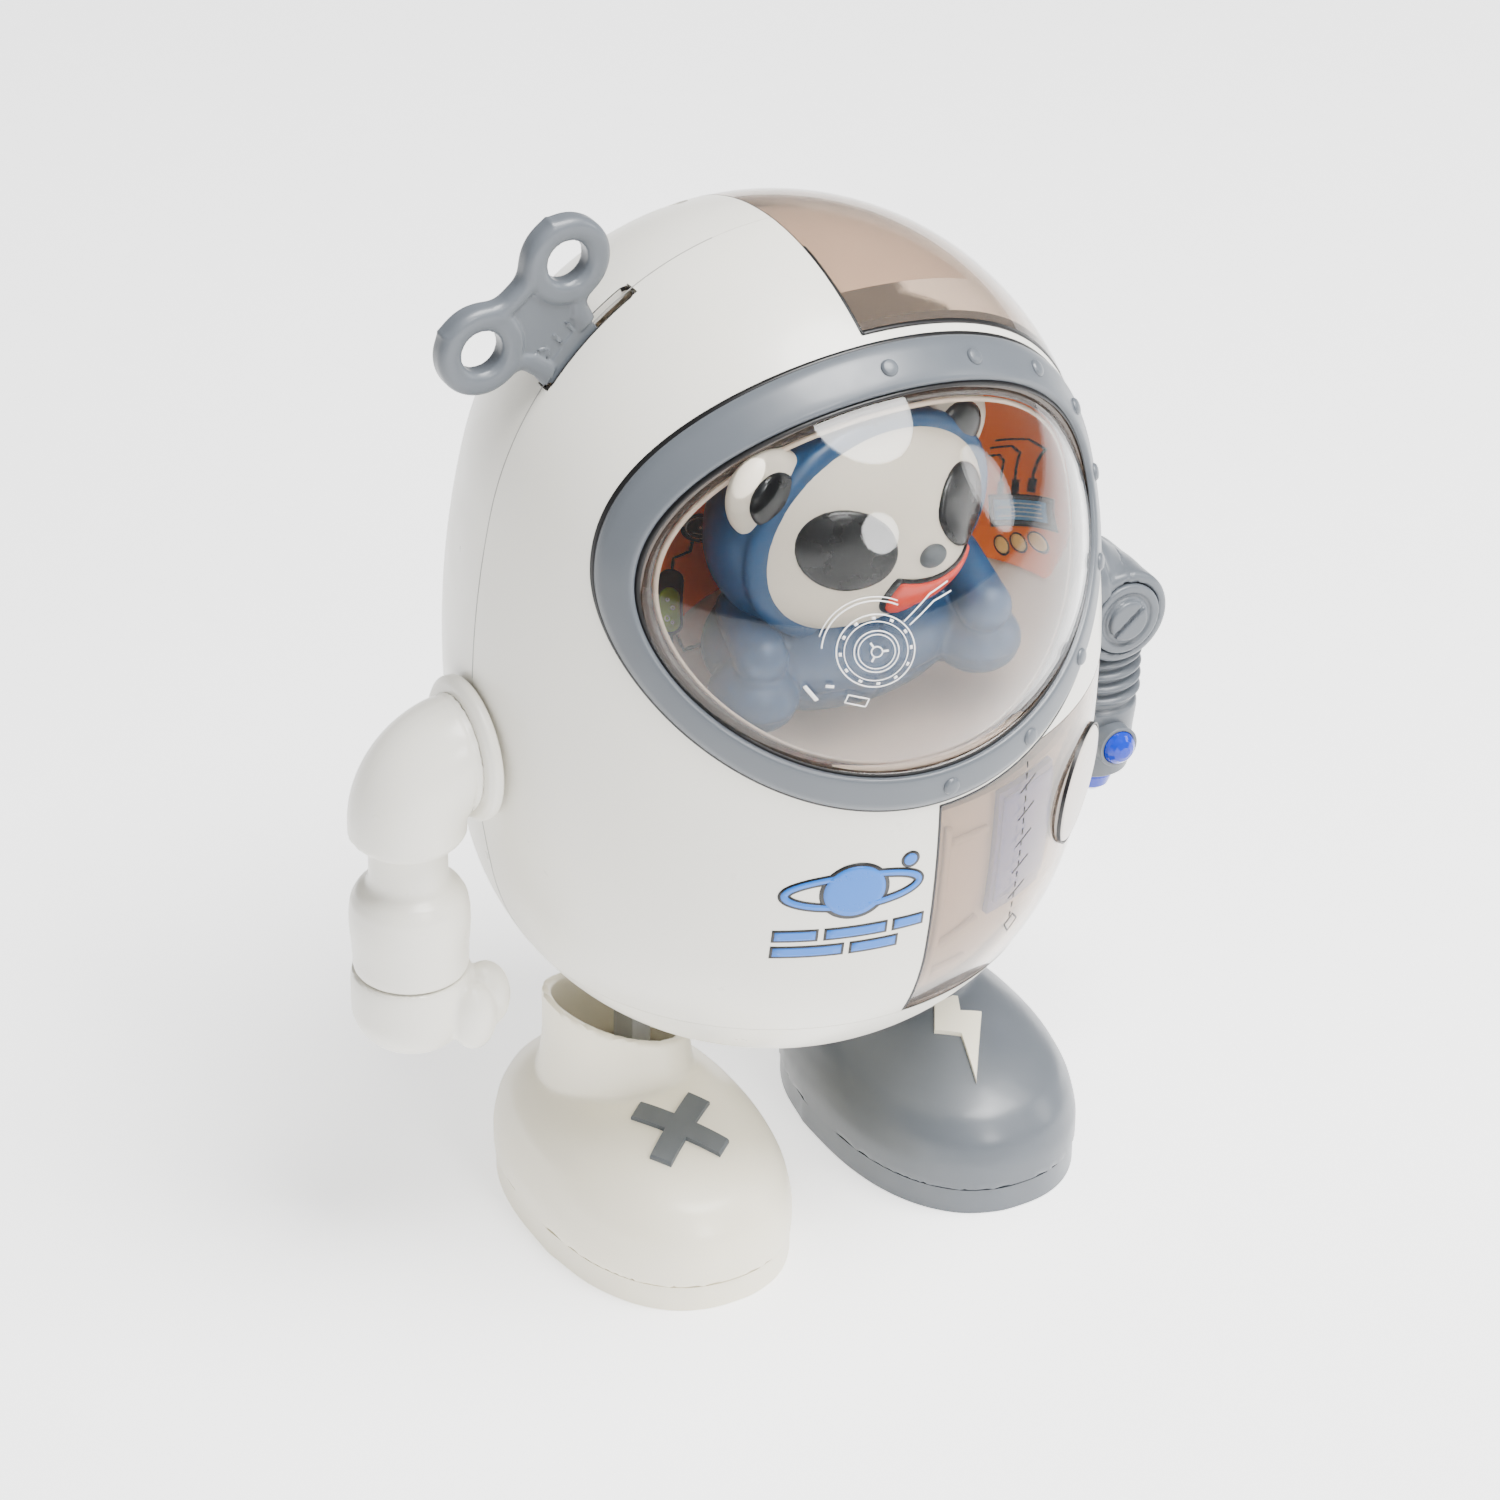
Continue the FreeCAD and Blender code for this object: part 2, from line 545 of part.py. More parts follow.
def gear_blank(teeth, thick, phase, at_x, y, z):
    """A spur gear about an X axis, with involute flanks and one tooth centred at the phase."""
    pitch = module * teeth / 2
    base, tip, root = pitch * math.cos(math.radians(20)), pitch + 0.8 * module, pitch - 1.15 * module
    flank = math.tan(math.radians(20)) - math.radians(20)
    half_tooth = math.pi / (2 * teeth) - 0.09 / pitch
    outline = []
    for tooth in range(teeth):
        middle = phase + 2 * math.pi * tooth / teeth
        flank_points = []
        for step in range(5):
            radius = max(base, root) + (tip - max(base, root)) * step / 4
            roll = math.sqrt(max(0.0, (radius / base) ** 2 - 1))
            spread = half_tooth + flank - (roll - math.atan(roll))
            flank_points.append((radius, spread))
        if root < base:
            flank_points.insert(0, (root, flank_points[0][1] * 0.96))
        for radius, spread in flank_points:
            outline.append((radius, middle - spread))
        for radius, spread in reversed(flank_points):
            outline.append((radius, middle + spread))
    spots = [V(at_x, y + radius * math.cos(a), z + radius * math.sin(a)) for radius, a in outline]
    return Part.Face(Part.makePolygon(spots + spots[:1])).extrude(V(thick, 0, 0))


crank_teeth, pinion_teeth = int(mm("crank_teeth")), int(mm("pinion_teeth"))
reduction_teeth = int(mm("reduction_teeth"))
crank_y, crank_z = seam, mm("crank_height")
first_reach = module * (crank_teeth + pinion_teeth) / 2
second_reach = module * (reduction_teeth + pinion_teeth) / 2
first_angle, second_angle = math.radians(135), math.radians(28)
mid_y, mid_z = (crank_y + first_reach * math.cos(first_angle),
                crank_z + first_reach * math.sin(first_angle))
motor_y, motor_z = (mid_y + second_reach * math.cos(second_angle),
                    mid_z + second_reach * math.sin(second_angle))
shaft = mm("shaft_radius")
small_shaft = 1.5

crank_gear = gear_blank(crank_teeth, width, first_angle, -2, crank_y, crank_z)
crank_rod = rod(shaft, V(-33.5, crank_y, crank_z), V(33.5, crank_y, crank_z))
keep(solid("crank_gear", crank_gear.cut(crank_rod)))
throw, leg_x, leg_thick = mm("crank_throw"), mm("leg_side"), mm("leg_thick")
discs = [rod(mm("crank_disc"), V(side * leg_x - 1.6, crank_y, crank_z + side * throw),
             V(side * leg_x + 1.6, crank_y, crank_z + side * throw)) for side in (-1, 1)]
keep(solid("crankshaft", joined([crank_rod] + discs)))
pinion_phase = first_angle + math.pi + math.pi / pinion_teeth
low_pinion = gear_blank(pinion_teeth, 5.0, pinion_phase, -2.5, mid_y, mid_z)
wheel = gear_blank(reduction_teeth, 3.0, second_angle, 3.5, mid_y, mid_z)
web = rod(3.0, V(2.4, mid_y, mid_z), V(3.6, mid_y, mid_z))
mid_rod = rod(small_shaft, V(-11.4, mid_y, mid_z), V(11.4, mid_y, mid_z))
keep(solid("reduction_gear", joined([low_pinion, wheel, web]).cut(mid_rod)))
keep(turned("reduction_pin", [(0, 0), (1.5, 0), (1.5, 22.8), (0, 22.8)],
            V(-11.4, mid_y, mid_z), SIDEWAYS))
motor_phase = second_angle + math.pi + math.pi / pinion_teeth
pinion = gear_blank(pinion_teeth, 3.6, motor_phase, 3.2, motor_y, motor_z)
motor_rod = rod(1.0, V(2.6, motor_y, motor_z), V(14.5, motor_y, motor_z))
keep(solid("motor_pinion", pinion.cut(motor_rod)))
keep(solid("motor_shaft", motor_rod))
motor_start = mm("plate_inner") + mm("plate_thick") + 0.1
keep(turned("motor_can", [
    (1.08, 0), (3.0, 0), (3.0, 0.8), (size("motor_radius"), 0.8),
    (size("motor_radius"), size("motor_length")), (3.2, size("motor_length")),
    (3.2, size("motor_length") + 1.4), (0, size("motor_length") + 1.4), (0, 4), (1.08, 4)],
    V(motor_start - 0.8, motor_y, motor_z), SIDEWAYS))

plate_low, plate_high, plate_front, plate_back = 50.0, 112.0, -31.0, 23.0
for name, low in (("right", -mm("plate_inner") - mm("plate_thick")), ("left", mm("plate_inner"))):
    corners = [(plate_front, plate_low), (plate_back, plate_low), (plate_back, 96.0),
               (14.0, plate_high), (-22.0, plate_high), (plate_front, 102.0)]
    circles = [(size("seam_back"), size("crank_height"), size("shaft_radius") + size("running_gap")),
               (mid_y, mid_z, size("running_gap") + small_shaft)]
    if name == "left":
        circles.append((motor_y, motor_z, 3.1))
    turn = FreeCAD.Rotation(BACKWARD, UP, SIDEWAYS, "ZXY")
    keep(padded("gearbox_plate_" + name, [corners], circles, size("plate_thick"),
                V(low, 0, 0), turn))

# ---------------------------------------------------------------- arms
flange_in, flange_out, arm_r = mm("flange_inner"), mm("flange_outer"), mm("arm_radius")
reach = mm("arm_reach")
for name, side in (("right", -1), ("left", 1)):
    outward = V(side, 0, 0)
    start = V(0, seam, shoulder.z)
    keep(turned("%s_shoulder_flange" % name, [
        (0, size("axle_inner")), (5.6, size("axle_inner")), (5.6, size("axle_inner") + 2.4),
        (size("axle_radius"), size("axle_inner") + 2.4), (size("axle_radius"), size("flange_inner")),
        (size("flange_radius") - 0.6, size("flange_inner")),
        (size("flange_radius"), size("flange_inner") + 0.6),
        (size("flange_radius"), size("flange_outer") - 1.0),
        (size("flange_radius") - 1.2, size("flange_outer")), (0, size("flange_outer"))],
        start, outward))


bend_slack = 1.2  # keeps the bend from closing on itself


def elbow_tube(radius, side):
    """A quarter bend from the shoulder axis down to the forearm axis."""
    bend = mm("arm_radius") + bend_slack
    middle = V(side * (reach - bend), seam, shoulder.z - bend)
    # the bend turns about Y, from pointing outward to pointing down
    bend_face = Part.Face(Part.Wire(Part.makeCircle(radius, middle + V(0, 0, bend), SIDEWAYS)))
    quarter = bend_face.revolve(middle, V(0, side, 0), 90)
    return quarter


def vertical(profile, x):
    """A solid turned about a vertical axis through the forearm."""
    spots = [V(x + radius, seam, height) for radius, height in profile]
    face = Part.Face(Part.makePolygon(spots + spots[:1]))
    return face.revolve(V(x, seam, 0), UP, 360)


bend_low = shoulder.z - arm_r - bend_slack
forearm_top = mm("forearm_top")
post_r = mm("wrist_radius")
socket = vertical([(0, 80), (post_r + mm("running_gap"), 80),
                   (post_r + mm("running_gap"), 104.3), (0, 104.3)], -reach)
lower_sleeve = vertical([(0, bend_low), (arm_r, bend_low), (11.2, 97.3), (9.9, 95.6),
                         (8.4, 95.0), (0, 95.0)], -reach)
inside_flange = block((-flange_out - 0.02, 0), (-FAR, FAR), (80, 140))
right_arm = joined([elbow_tube(arm_r, -1).cut(inside_flange), lower_sleeve])
keep(solid("right_upper_arm", right_arm.cut(socket)))

cuff = mm("cuff_height")
forearm = vertical([
    (0, 104.0), (post_r, 104.0), (post_r, forearm_top), (8.0, forearm_top), (8.0, 88.2),
    (9.6, 87.6), (11.2, 85.4), (11.8, 82.0), (11.7, 72.0), (11.3, cuff + 0.1),
    (0, cuff + 0.1)], -reach)
keep(solid("right_forearm", forearm))
palm = vertical([(0, cuff), (11.7, cuff), (12.0, 62.0), (11.8, 57.0), (10.6, 52.6), (7.8, 49.8),
                 (4.0, 48.8), (0, mm("hand_low"))], -reach)


def on_hand(radius, low, high):
    """A finger of the mitten, from offsets inward, backward and up from the forearm axis."""
    return capsule(radius, *(V(-reach + x, seam + y, z) for x, y, z in (low, high)))


keep(solid("right_hand", joined([
    palm, on_hand(5.0, (12.6, -6.2, 56.5), (12.2, -6.2, 61.0)),
    on_hand(4.6, (8.2, -10.4, 54.5), (7.8, -10.4, 59.5))])))

left_reach = 77.4
elbow_under = 95.4
left_r = 10.6
slope = V(left_reach, seam, 105.0) - V(70.5, seam, shoulder.z)
left_arm = joined([
    rod(left_r, V(flange_out + 0.02, seam, shoulder.z), V(70.5, seam, shoulder.z)),
    Part.makeSphere(left_r, V(70.5, seam, shoulder.z)),
    rod(left_r, V(70.5, seam, shoulder.z), V(left_reach, seam, 105.0)),
    Part.makeSphere(left_r, V(left_reach, seam, 105.0)),
    rod(left_r - 0.4, V(left_reach, seam - 9.6, 105.0), V(left_reach, seam + 9.6, 105.0)),
    vertical([(0, 105), (9.4, 105), (9.4, 97.0), (8.6, elbow_under), (0, elbow_under)],
             left_reach)])
left_socket = vertical([(0, 80), (post_r + mm("running_gap"), 80),
                        (post_r + mm("running_gap"), 104.3), (0, 104.3)], left_reach)
left_inner = block((0, flange_out + 0.02), (-FAR, FAR), (80, 140))
cap_bore = rod(6.6, V(left_reach, -20, 105.0), V(left_reach, seam - 8.4, 105.0))
cap_seat = rod(7.8, V(left_reach, -20, 105.0), V(left_reach, seam - 9.65, 105.0))
below_elbow = vertical([(0, 80), (20, 80), (20, elbow_under), (0, elbow_under)], left_reach)
keep(solid("left_upper_arm", left_arm.cut([
    left_socket, left_inner, cap_bore, cap_seat, below_elbow])))
keep(turned("left_elbow_cap", [
    (0, 0), (6.5, 0), (6.5, 1.3), (7.6, 1.3), (7.6, 1.9), (6.9, 2.4), (4.4, 2.4), (4.2, 2.9),
    (0, 2.9)], V(left_reach, seam - 8.4, 105.0), V(0, -1, 0)))
ribs = [(0, 104.0), (post_r, 104.0), (post_r, 95.1), (7.2, 95.1)]
for index in range(4):
    z = 94.2 - 2.9 * index
    ribs += [(8.9, z), (9.2, z - 0.9), (8.9, z - 1.7), (7.3, z - 2.3)]
ribs += [(7.3, 82.6), (8.2, 81.6), (8.2, 80.0), (7.6, 76.0), (7.3, 70.0), (7.0, 66.2), (0, 66.2)]
sleeve = vertical(ribs, left_reach)
lens_at = V(left_reach - 1.0, seam - 4.0, 75.5)
lens_tube = rod(4.4, lens_at, lens_at + V(0, -7.0, 0))
tip_cut = vertical([(0, 60), (4.6, 60), (4.6, 70.0), (0, 70.0)], left_reach)
arm_body = joined([sleeve, lens_tube])
keep(solid("left_forearm", arm_body.cut([
    tip_cut, rod(3.55, lens_at + V(0, -2.0, 0), lens_at + V(0, -9.0, 0))])))
keep(turned("left_arm_lens", [
    (0, 0), (3.5, 0), (3.5, 5.0), (3.2, 6.0), (2.3, 6.9), (1.2, 7.4), (0, 7.5)],
    lens_at + V(0, -2.0, 0), V(0, -1, 0)))
keep(turned("left_arm_tip", [
    (0, 0), (1.8, 0.4), (3.4, 1.8), (4.4, 4.4), (4.5, 6.0), (4.5, 10.0), (0, 10.0)],
    V(left_reach, seam, 59.8)))

# ---------------------------------------------------------------- legs and shoes
half_y = mm("crank_disc") + throw + 0.3
half_z = mm("crank_disc") + throw + mm("leg_travel") + 0.3
stem = mm("leg_stem") / 2
ankle_z, ankle_r = mm("ankle_height"), mm("ankle_radius")


def leg_shape():
    low_x, high_x = leg_x - leg_thick / 2, leg_x + leg_thick / 2
    frame = block((low_x, high_x), (seam - half_y - 3, seam + half_y + 3),
                  (crank_z - half_z - 3, crank_z + half_z + 3))
    window_box = block((0, 60), (seam - half_y, seam + half_y),
                       (crank_z - half_z, crank_z + half_z))
    shank = block((low_x, high_x), (seam - stem, seam + stem), (ankle_z, crank_z - half_z - 2))
    boss = rod(ankle_r, V(leg_x, seam - 5.5, ankle_z), V(leg_x, seam + 5.5, ankle_z))
    hole = rod(mm("pin_radius") + mm("running_gap"), V(leg_x, -20, ankle_z), V(leg_x, 20, ankle_z))
    return joined([frame, shank, boss]).cut([window_box, hole])


SECTIONS = [  # height, half-width, half-length, middle along Y
    (5.75, 25.2, 38.9, -7.8), (11.0, 25.2, 38.7, -7.8), (16.0, 24.3, 37.2, -7.5),
    (20.5, 22.3, 34.0, -6.7), (24.0, 19.3, 28.8, -5.0), (26.6, 16.4, 21.6, -1.6),
    (28.4, 15.0, 15.4, 2.4)]


def shoe_outline(wide, long, middle, height, grow=0.0):
    """A rounded outline between an ellipse and a rectangle, in four arcs."""
    power, steps, arcs = 2.0 / 2.28, 8, []
    for quarter in range(4):
        spots, start = [], quarter * math.pi / 2
        for step in range(steps + 1):
            angle = start + math.pi / 2 * step / steps
            c, s = round(math.cos(angle), 12), round(math.sin(angle), 12)
            spots.append(V(mm("shoe_side") + (wide + grow) * math.copysign(abs(c) ** power, c),
                           middle + (long + grow) * math.copysign(abs(s) ** power, s), height))
        ends = [V(-math.sin(a), math.cos(a), 0) for a in (start, start + math.pi / 2)]
        curve = Part.BSplineCurve()
        curve.interpolate(spots, InitialTangent=ends[0], FinalTangent=ends[1])
        arcs.append(curve.toShape())
    return Part.Wire(arcs)


def shoe_loft(grow, lift=0.0):
    wires = [shoe_outline(w, l, m, z + (lift if index else 0.0), grow)
             for index, (z, w, l, m) in enumerate(SECTIONS)]
    return Part.makeLoft(wires, True)


def shoe_upper():
    outer = shoe_loft(0.0)
    inner = shoe_loft(-mm("shoe_wall"), -1.2)
    centre = V(mm("shoe_side"), mm("collar_back"), 0)
    out_r, in_r = mm("collar_radius"), mm("collar_radius") - mm("collar_wall")
    tube = Part.makeCone(out_r + 0.5, out_r - 0.4, 24, centre + V(0, 0, 24))
    hole = rod(in_r, centre + V(0, 0, 20), centre + V(0, 0, 60))
    # the rim leans down toward the middle of the toy
    top = block((-40, 40), (-40, 40), (0, 30))
    top.rotate(V(0, 0, 0), BACKWARD, -math.degrees(math.atan2(11.0, 27.0)))
    top.translate(centre + V(0, 0, 40.3))
    return joined([outer, tube.cut(top)]).cut([inner, hole])


def shoe_sole():
    base = Part.Face(shoe_outline(mm("shoe_wide") - 0.4, mm("shoe_long") - 0.4,
                                  mm("shoe_forward"), 0.0)).extrude(V(0, 0, mm("sole_thick")))
    slab = [base]
    for low, high in ((seam - 9.2, seam - 5.8), (seam + 5.8, seam + 9.2)):
        slab.append(block((leg_x - 6, leg_x + 6), (low, high), (mm("sole_thick") - 1, 23.0)))
    pin_hole = rod(mm("pin_radius"), V(leg_x, -20, ankle_z), V(leg_x, 20, ankle_z))
    return joined(slab).cut(pin_hole)


def badge(corner_sets):
    """A raised badge that follows the shoe's upper."""
    layer = shoe_loft(mm("badge_thick") * 0.35, mm("badge_thick")).cut(shoe_loft(0.02, 0.02))
    shapes = []
    for corners in corner_sets:
        spots = [V(x, y, 15) for x, y in corners]
        shapes.append(Part.Face(Part.makePolygon(spots + spots[:1])).extrude(V(0, 0, 20)))
    return layer.common(joined(shapes) if len(shapes) > 1 else shapes[0])


def bar(x, y, length, wide, angle):
    turn = math.radians(angle)
    along, across = (math.cos(turn), math.sin(turn)), (-math.sin(turn), math.cos(turn))
    return [(x + u * length / 2 * along[0] + v * wide / 2 * across[0],
             y + u * length / 2 * along[1] + v * wide / 2 * across[1])
            for u, v in ((-1, -1), (1, -1), (1, 1), (-1, 1))]


cross = badge([bar(32.4, -23.2, 18.0, 4.4, 50), bar(32.4, -23.2, 18.0, 4.4, -40)])
bolt = badge([[(33.6, -10.2), (37.2, -12.6), (35.4, -17.2), (38.6, -18.4), (30.0, -33.0),
               (32.2, -22.6), (28.2, -20.0)]])
for name, side in (("right", -1), ("left", 1)):
    shapes = {"leg": leg_shape(), "shoe_upper": shoe_upper(), "shoe_sole": shoe_sole(),
              "shoe_badge": cross if side < 0 else bolt}
    for part_name, shape in shapes.items():
        keep(solid("%s_%s" % (name, part_name), mirrored(shape) if side < 0 else shape))
    keep(turned("%s_ankle_pin" % name, [
        (0, 0), (size("pin_radius"), 0), (size("pin_radius"), 18.4), (0, 18.4)],
        V(side * leg_x, seam - 9.2, ankle_z), BACKWARD))

# ---------------------------------------------------------------- check and write
doc.recompute()
for item in doc.Objects:
    if "Invalid" in item.State or "Error" in item.State:
        raise RuntimeError("feature failed: " + item.Label)
for piece in PIECES:
    if piece.Shape.isNull() or not piece.Shape.isValid():
        raise RuntimeError("bad shape: " + piece.Label)
    if len(piece.Shape.Solids) != 1:
        print("WARNING solids", piece.Label, len(piece.Shape.Solids))
    piece.Shape.exportStep(os.path.join("parts", piece.Label + ".step"))
print("pieces:", len(PIECES))
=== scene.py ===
import json
import math
import bmesh
import bpy
import numpy as np
from mathutils import Matrix, Vector


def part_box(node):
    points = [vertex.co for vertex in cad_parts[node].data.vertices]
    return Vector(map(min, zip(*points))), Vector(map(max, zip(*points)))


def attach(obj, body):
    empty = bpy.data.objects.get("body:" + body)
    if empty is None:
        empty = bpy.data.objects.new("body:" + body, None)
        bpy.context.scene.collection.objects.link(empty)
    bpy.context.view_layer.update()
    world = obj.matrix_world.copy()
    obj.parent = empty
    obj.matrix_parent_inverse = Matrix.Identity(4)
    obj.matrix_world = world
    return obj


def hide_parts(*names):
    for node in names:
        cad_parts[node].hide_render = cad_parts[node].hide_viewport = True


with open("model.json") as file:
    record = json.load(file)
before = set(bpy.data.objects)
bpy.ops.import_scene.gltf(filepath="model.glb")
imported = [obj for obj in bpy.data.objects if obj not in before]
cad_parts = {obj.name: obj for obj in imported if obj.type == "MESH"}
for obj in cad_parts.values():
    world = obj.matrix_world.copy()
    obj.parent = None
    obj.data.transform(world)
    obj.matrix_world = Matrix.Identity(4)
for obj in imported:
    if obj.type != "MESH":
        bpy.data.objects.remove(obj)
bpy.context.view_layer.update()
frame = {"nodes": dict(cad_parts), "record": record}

NODES = frame["nodes"]
MM = 0.001

# ------------------------------------------------------------------ the frame's own measures, in mm


def box(node):
    low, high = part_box(node)
    return np.array(low) / MM, np.array(high) / MM


def middle(node):
    low, high = box(node)
    return (low + high) / 2


SEAM = middle("right_shoulder_flange")[1]
SHOULDER = middle("right_shoulder_flange")[2]
RIGHT_X = middle("right_forearm")[0]
LEFT_X = middle("left_arm_tip")[0]
FLANGE_R = (box("right_shoulder_flange")[1][2] - box("right_shoulder_flange")[0][2]) / 2
FLANGE_OUT = -box("right_shoulder_flange")[0][0]
SHOE_X = middle("left_shoe_sole")[0]

# the egg's three arcs: (centre radius, centre height, arc radius)
TOP_ARC = (0.0, 148.03, 60.8)
SIDE_ARC = (-128.0, 119.2, 192.0)
LOW_ARC = (6.43, 92.8, 55.0)
# half sizes: the ring's outline, the window in it, the dome's and the bowl's ellipsoids
VISOR_A, VISOR_B = 53.0, 40.7
WINDOW_Z, WINDOW_A, WINDOW_B = 158.0, 48.6, 34.2
VISOR_MID = 157.5
DOME_Z, DOME_A, DOME_Y, DOME_C = 144.7, 58.6, 67.2, 60.0
BOWL_Y, BOWL_Z, BOWL_A, BOWL_D, BOWL_C = -40.0, 156.0, 48.9, 41.4, 36.4


def egg_arc(z):
    if z > 161.3:
        return TOP_ARC
    return SIDE_ARC if z > 82.2 else LOW_ARC


def egg_radius(z, inset=0.0):
    centre, height, radius = egg_arc(z)
    return centre + math.sqrt(max((radius - inset) ** 2 - (z - height) ** 2, 0.0))


def egg_point(x, z, lift=0.0, front=-1):
    """A point on the egg's front or back at (x, z), lifted along the surface's normal."""
    r = egg_radius(z)
    y = front * math.sqrt(max(r * r - x * x, 0.0))
    centre, height, radius = egg_arc(z)
    out, up = (r - centre) / radius, (z - height) / radius
    return Vector((x + lift * out * x / r, y + lift * out * y / r, z + lift * up))


def dome_point(x, z, lift=0.0):
    inside = 1 - (x / DOME_A) ** 2 - ((z - DOME_Z) / DOME_C) ** 2
    y = -DOME_Y * math.sqrt(max(inside, 0.0))
    normal = Vector((x / DOME_A ** 2, y / DOME_Y ** 2, (z - DOME_Z) / DOME_C ** 2)).normalized()
    return Vector((x, y, z)) + normal * lift


def backdrop_point(x, z, lift=0.0):
    a, d, c = BOWL_A - 0.95, BOWL_D - 0.95, BOWL_C - 0.95
    inside = 1 - (x / a) ** 2 - ((z - BOWL_Z) / c) ** 2
    y = d * math.sqrt(max(inside, 0.0))
    normal = Vector((x / a ** 2, y / d ** 2, (z - BOWL_Z) / c ** 2)).normalized()
    return Vector((x, BOWL_Y + y, z)) - normal * lift


# ------------------------------------------------------------------ materials
def grow(tree, kind, inputs=(), **settings):
    node = tree.nodes.new(kind)
    for key, value in settings.items():
        setattr(node, key, value)
    for socket, value in inputs:
        if isinstance(value, bpy.types.NodeSocket):
            tree.links.new(value, node.inputs[socket])
        else:
            node.inputs[socket].default_value = value
    return node


def linear(rgb):
    """sRGB 0..255 to linear."""
    out = []
    for value in rgb:
        v = value / 255.0
        out.append(v / 12.92 if v <= 0.04045 else ((v + 0.055) / 1.055) ** 2.4)
    return (*out, 1.0)


def start_material(name):
    material = bpy.data.materials.new(name)
    material.use_nodes = True
    tree = material.node_tree
    place = grow(tree, "ShaderNodeTexCoord").outputs["Object"]
    return material, tree, tree.nodes["Principled BSDF"], place


def uneven_gloss(tree, shader, noise, low, high, smooth, rough):
    gloss = grow(tree, "ShaderNodeMapRange", [("Value", noise.outputs["Fac"]),
                                              ("From Min", low), ("From Max", high),
                                              ("To Min", smooth), ("To Max", rough)])
    tree.links.new(gloss.outputs["Result"], shader.inputs["Roughness"])


def relief(tree, shader, noise, strength):
    bump = grow(tree, "ShaderNodeBump", [("Height", noise.outputs["Fac"]),
                                         ("Strength", strength), ("Distance", 0.0001)])
    tree.links.new(bump.outputs["Normal"], shader.inputs["Normal"])


def plastic(name, rgb, rough=0.35, speckle=0.03, grain=0.04, coat=0.0, scatter=0.0):
    """Moulded plastic: slow colour drift, uneven gloss and fine grain."""
    material, tree, shader, place = start_material(name)
    cloud = grow(tree, "ShaderNodeTexNoise", [("Vector", place), ("Scale", 45.0), ("Detail", 4.0)])
    base = linear(rgb)
    dark = tuple(c * (1 - speckle) for c in base[:3]) + (1.0,)
    light = tuple(min(c * (1 + speckle), 1.0) for c in base[:3]) + (1.0,)
    ramp = grow(tree, "ShaderNodeValToRGB", [("Fac", cloud.outputs["Fac"])])
    ramp.color_ramp.elements[0].position, ramp.color_ramp.elements[0].color = 0.32, dark
    ramp.color_ramp.elements[1].position, ramp.color_ramp.elements[1].color = 0.68, light
    tree.links.new(ramp.outputs["Color"], shader.inputs["Base Color"])
    smear = grow(tree, "ShaderNodeTexNoise", [("Vector", place), ("Scale", 120.0),
                                              ("Detail", 6.0), ("Roughness", 0.6)])
    uneven_gloss(tree, shader, smear, 0.3, 0.7, rough * 0.85, rough * 1.2)
    fine = grow(tree, "ShaderNodeTexNoise", [("Vector", place), ("Scale", 2600.0), ("Detail", 2.0)])
    relief(tree, shader, fine, grain)
    shader.inputs["Coat Weight"].default_value = coat
    shader.inputs["Coat Roughness"].default_value = 0.12
    if scatter:
        shader.inputs["Subsurface Weight"].default_value = scatter
        shader.inputs["Subsurface Radius"].default_value = (0.004, 0.004, 0.003)
        shader.inputs["Subsurface Scale"].default_value = 0.3
    return material


def clear(name, rgb, rough=0.03, through=1.0, ior=1.45):
    """Clear plastic with faint rubbing marks."""
    material, tree, shader, place = start_material(name)
    streak = grow(tree, "ShaderNodeMapping", [("Vector", place), ("Scale", (60.0, 60.0, 400.0))])
    noise = grow(tree, "ShaderNodeTexNoise", [("Vector", streak.outputs["Vector"]),
                                              ("Scale", 4.0), ("Detail", 5.0)])
    uneven_gloss(tree, shader, noise, 0.45, 0.75, rough, rough + 0.08)
    relief(tree, shader, noise, 0.02)
    shader.inputs["Base Color"].default_value = linear(rgb)
    shader.inputs["Transmission Weight"].default_value = through
    shader.inputs["IOR"].default_value = ior
    return material


def metal(name, rgb, rough=0.3):
    material = plastic(name, rgb, rough, speckle=0.05, grain=0.05)
    material.node_tree.nodes["Principled BSDF"].inputs["Metallic"].default_value = 1.0
    return material


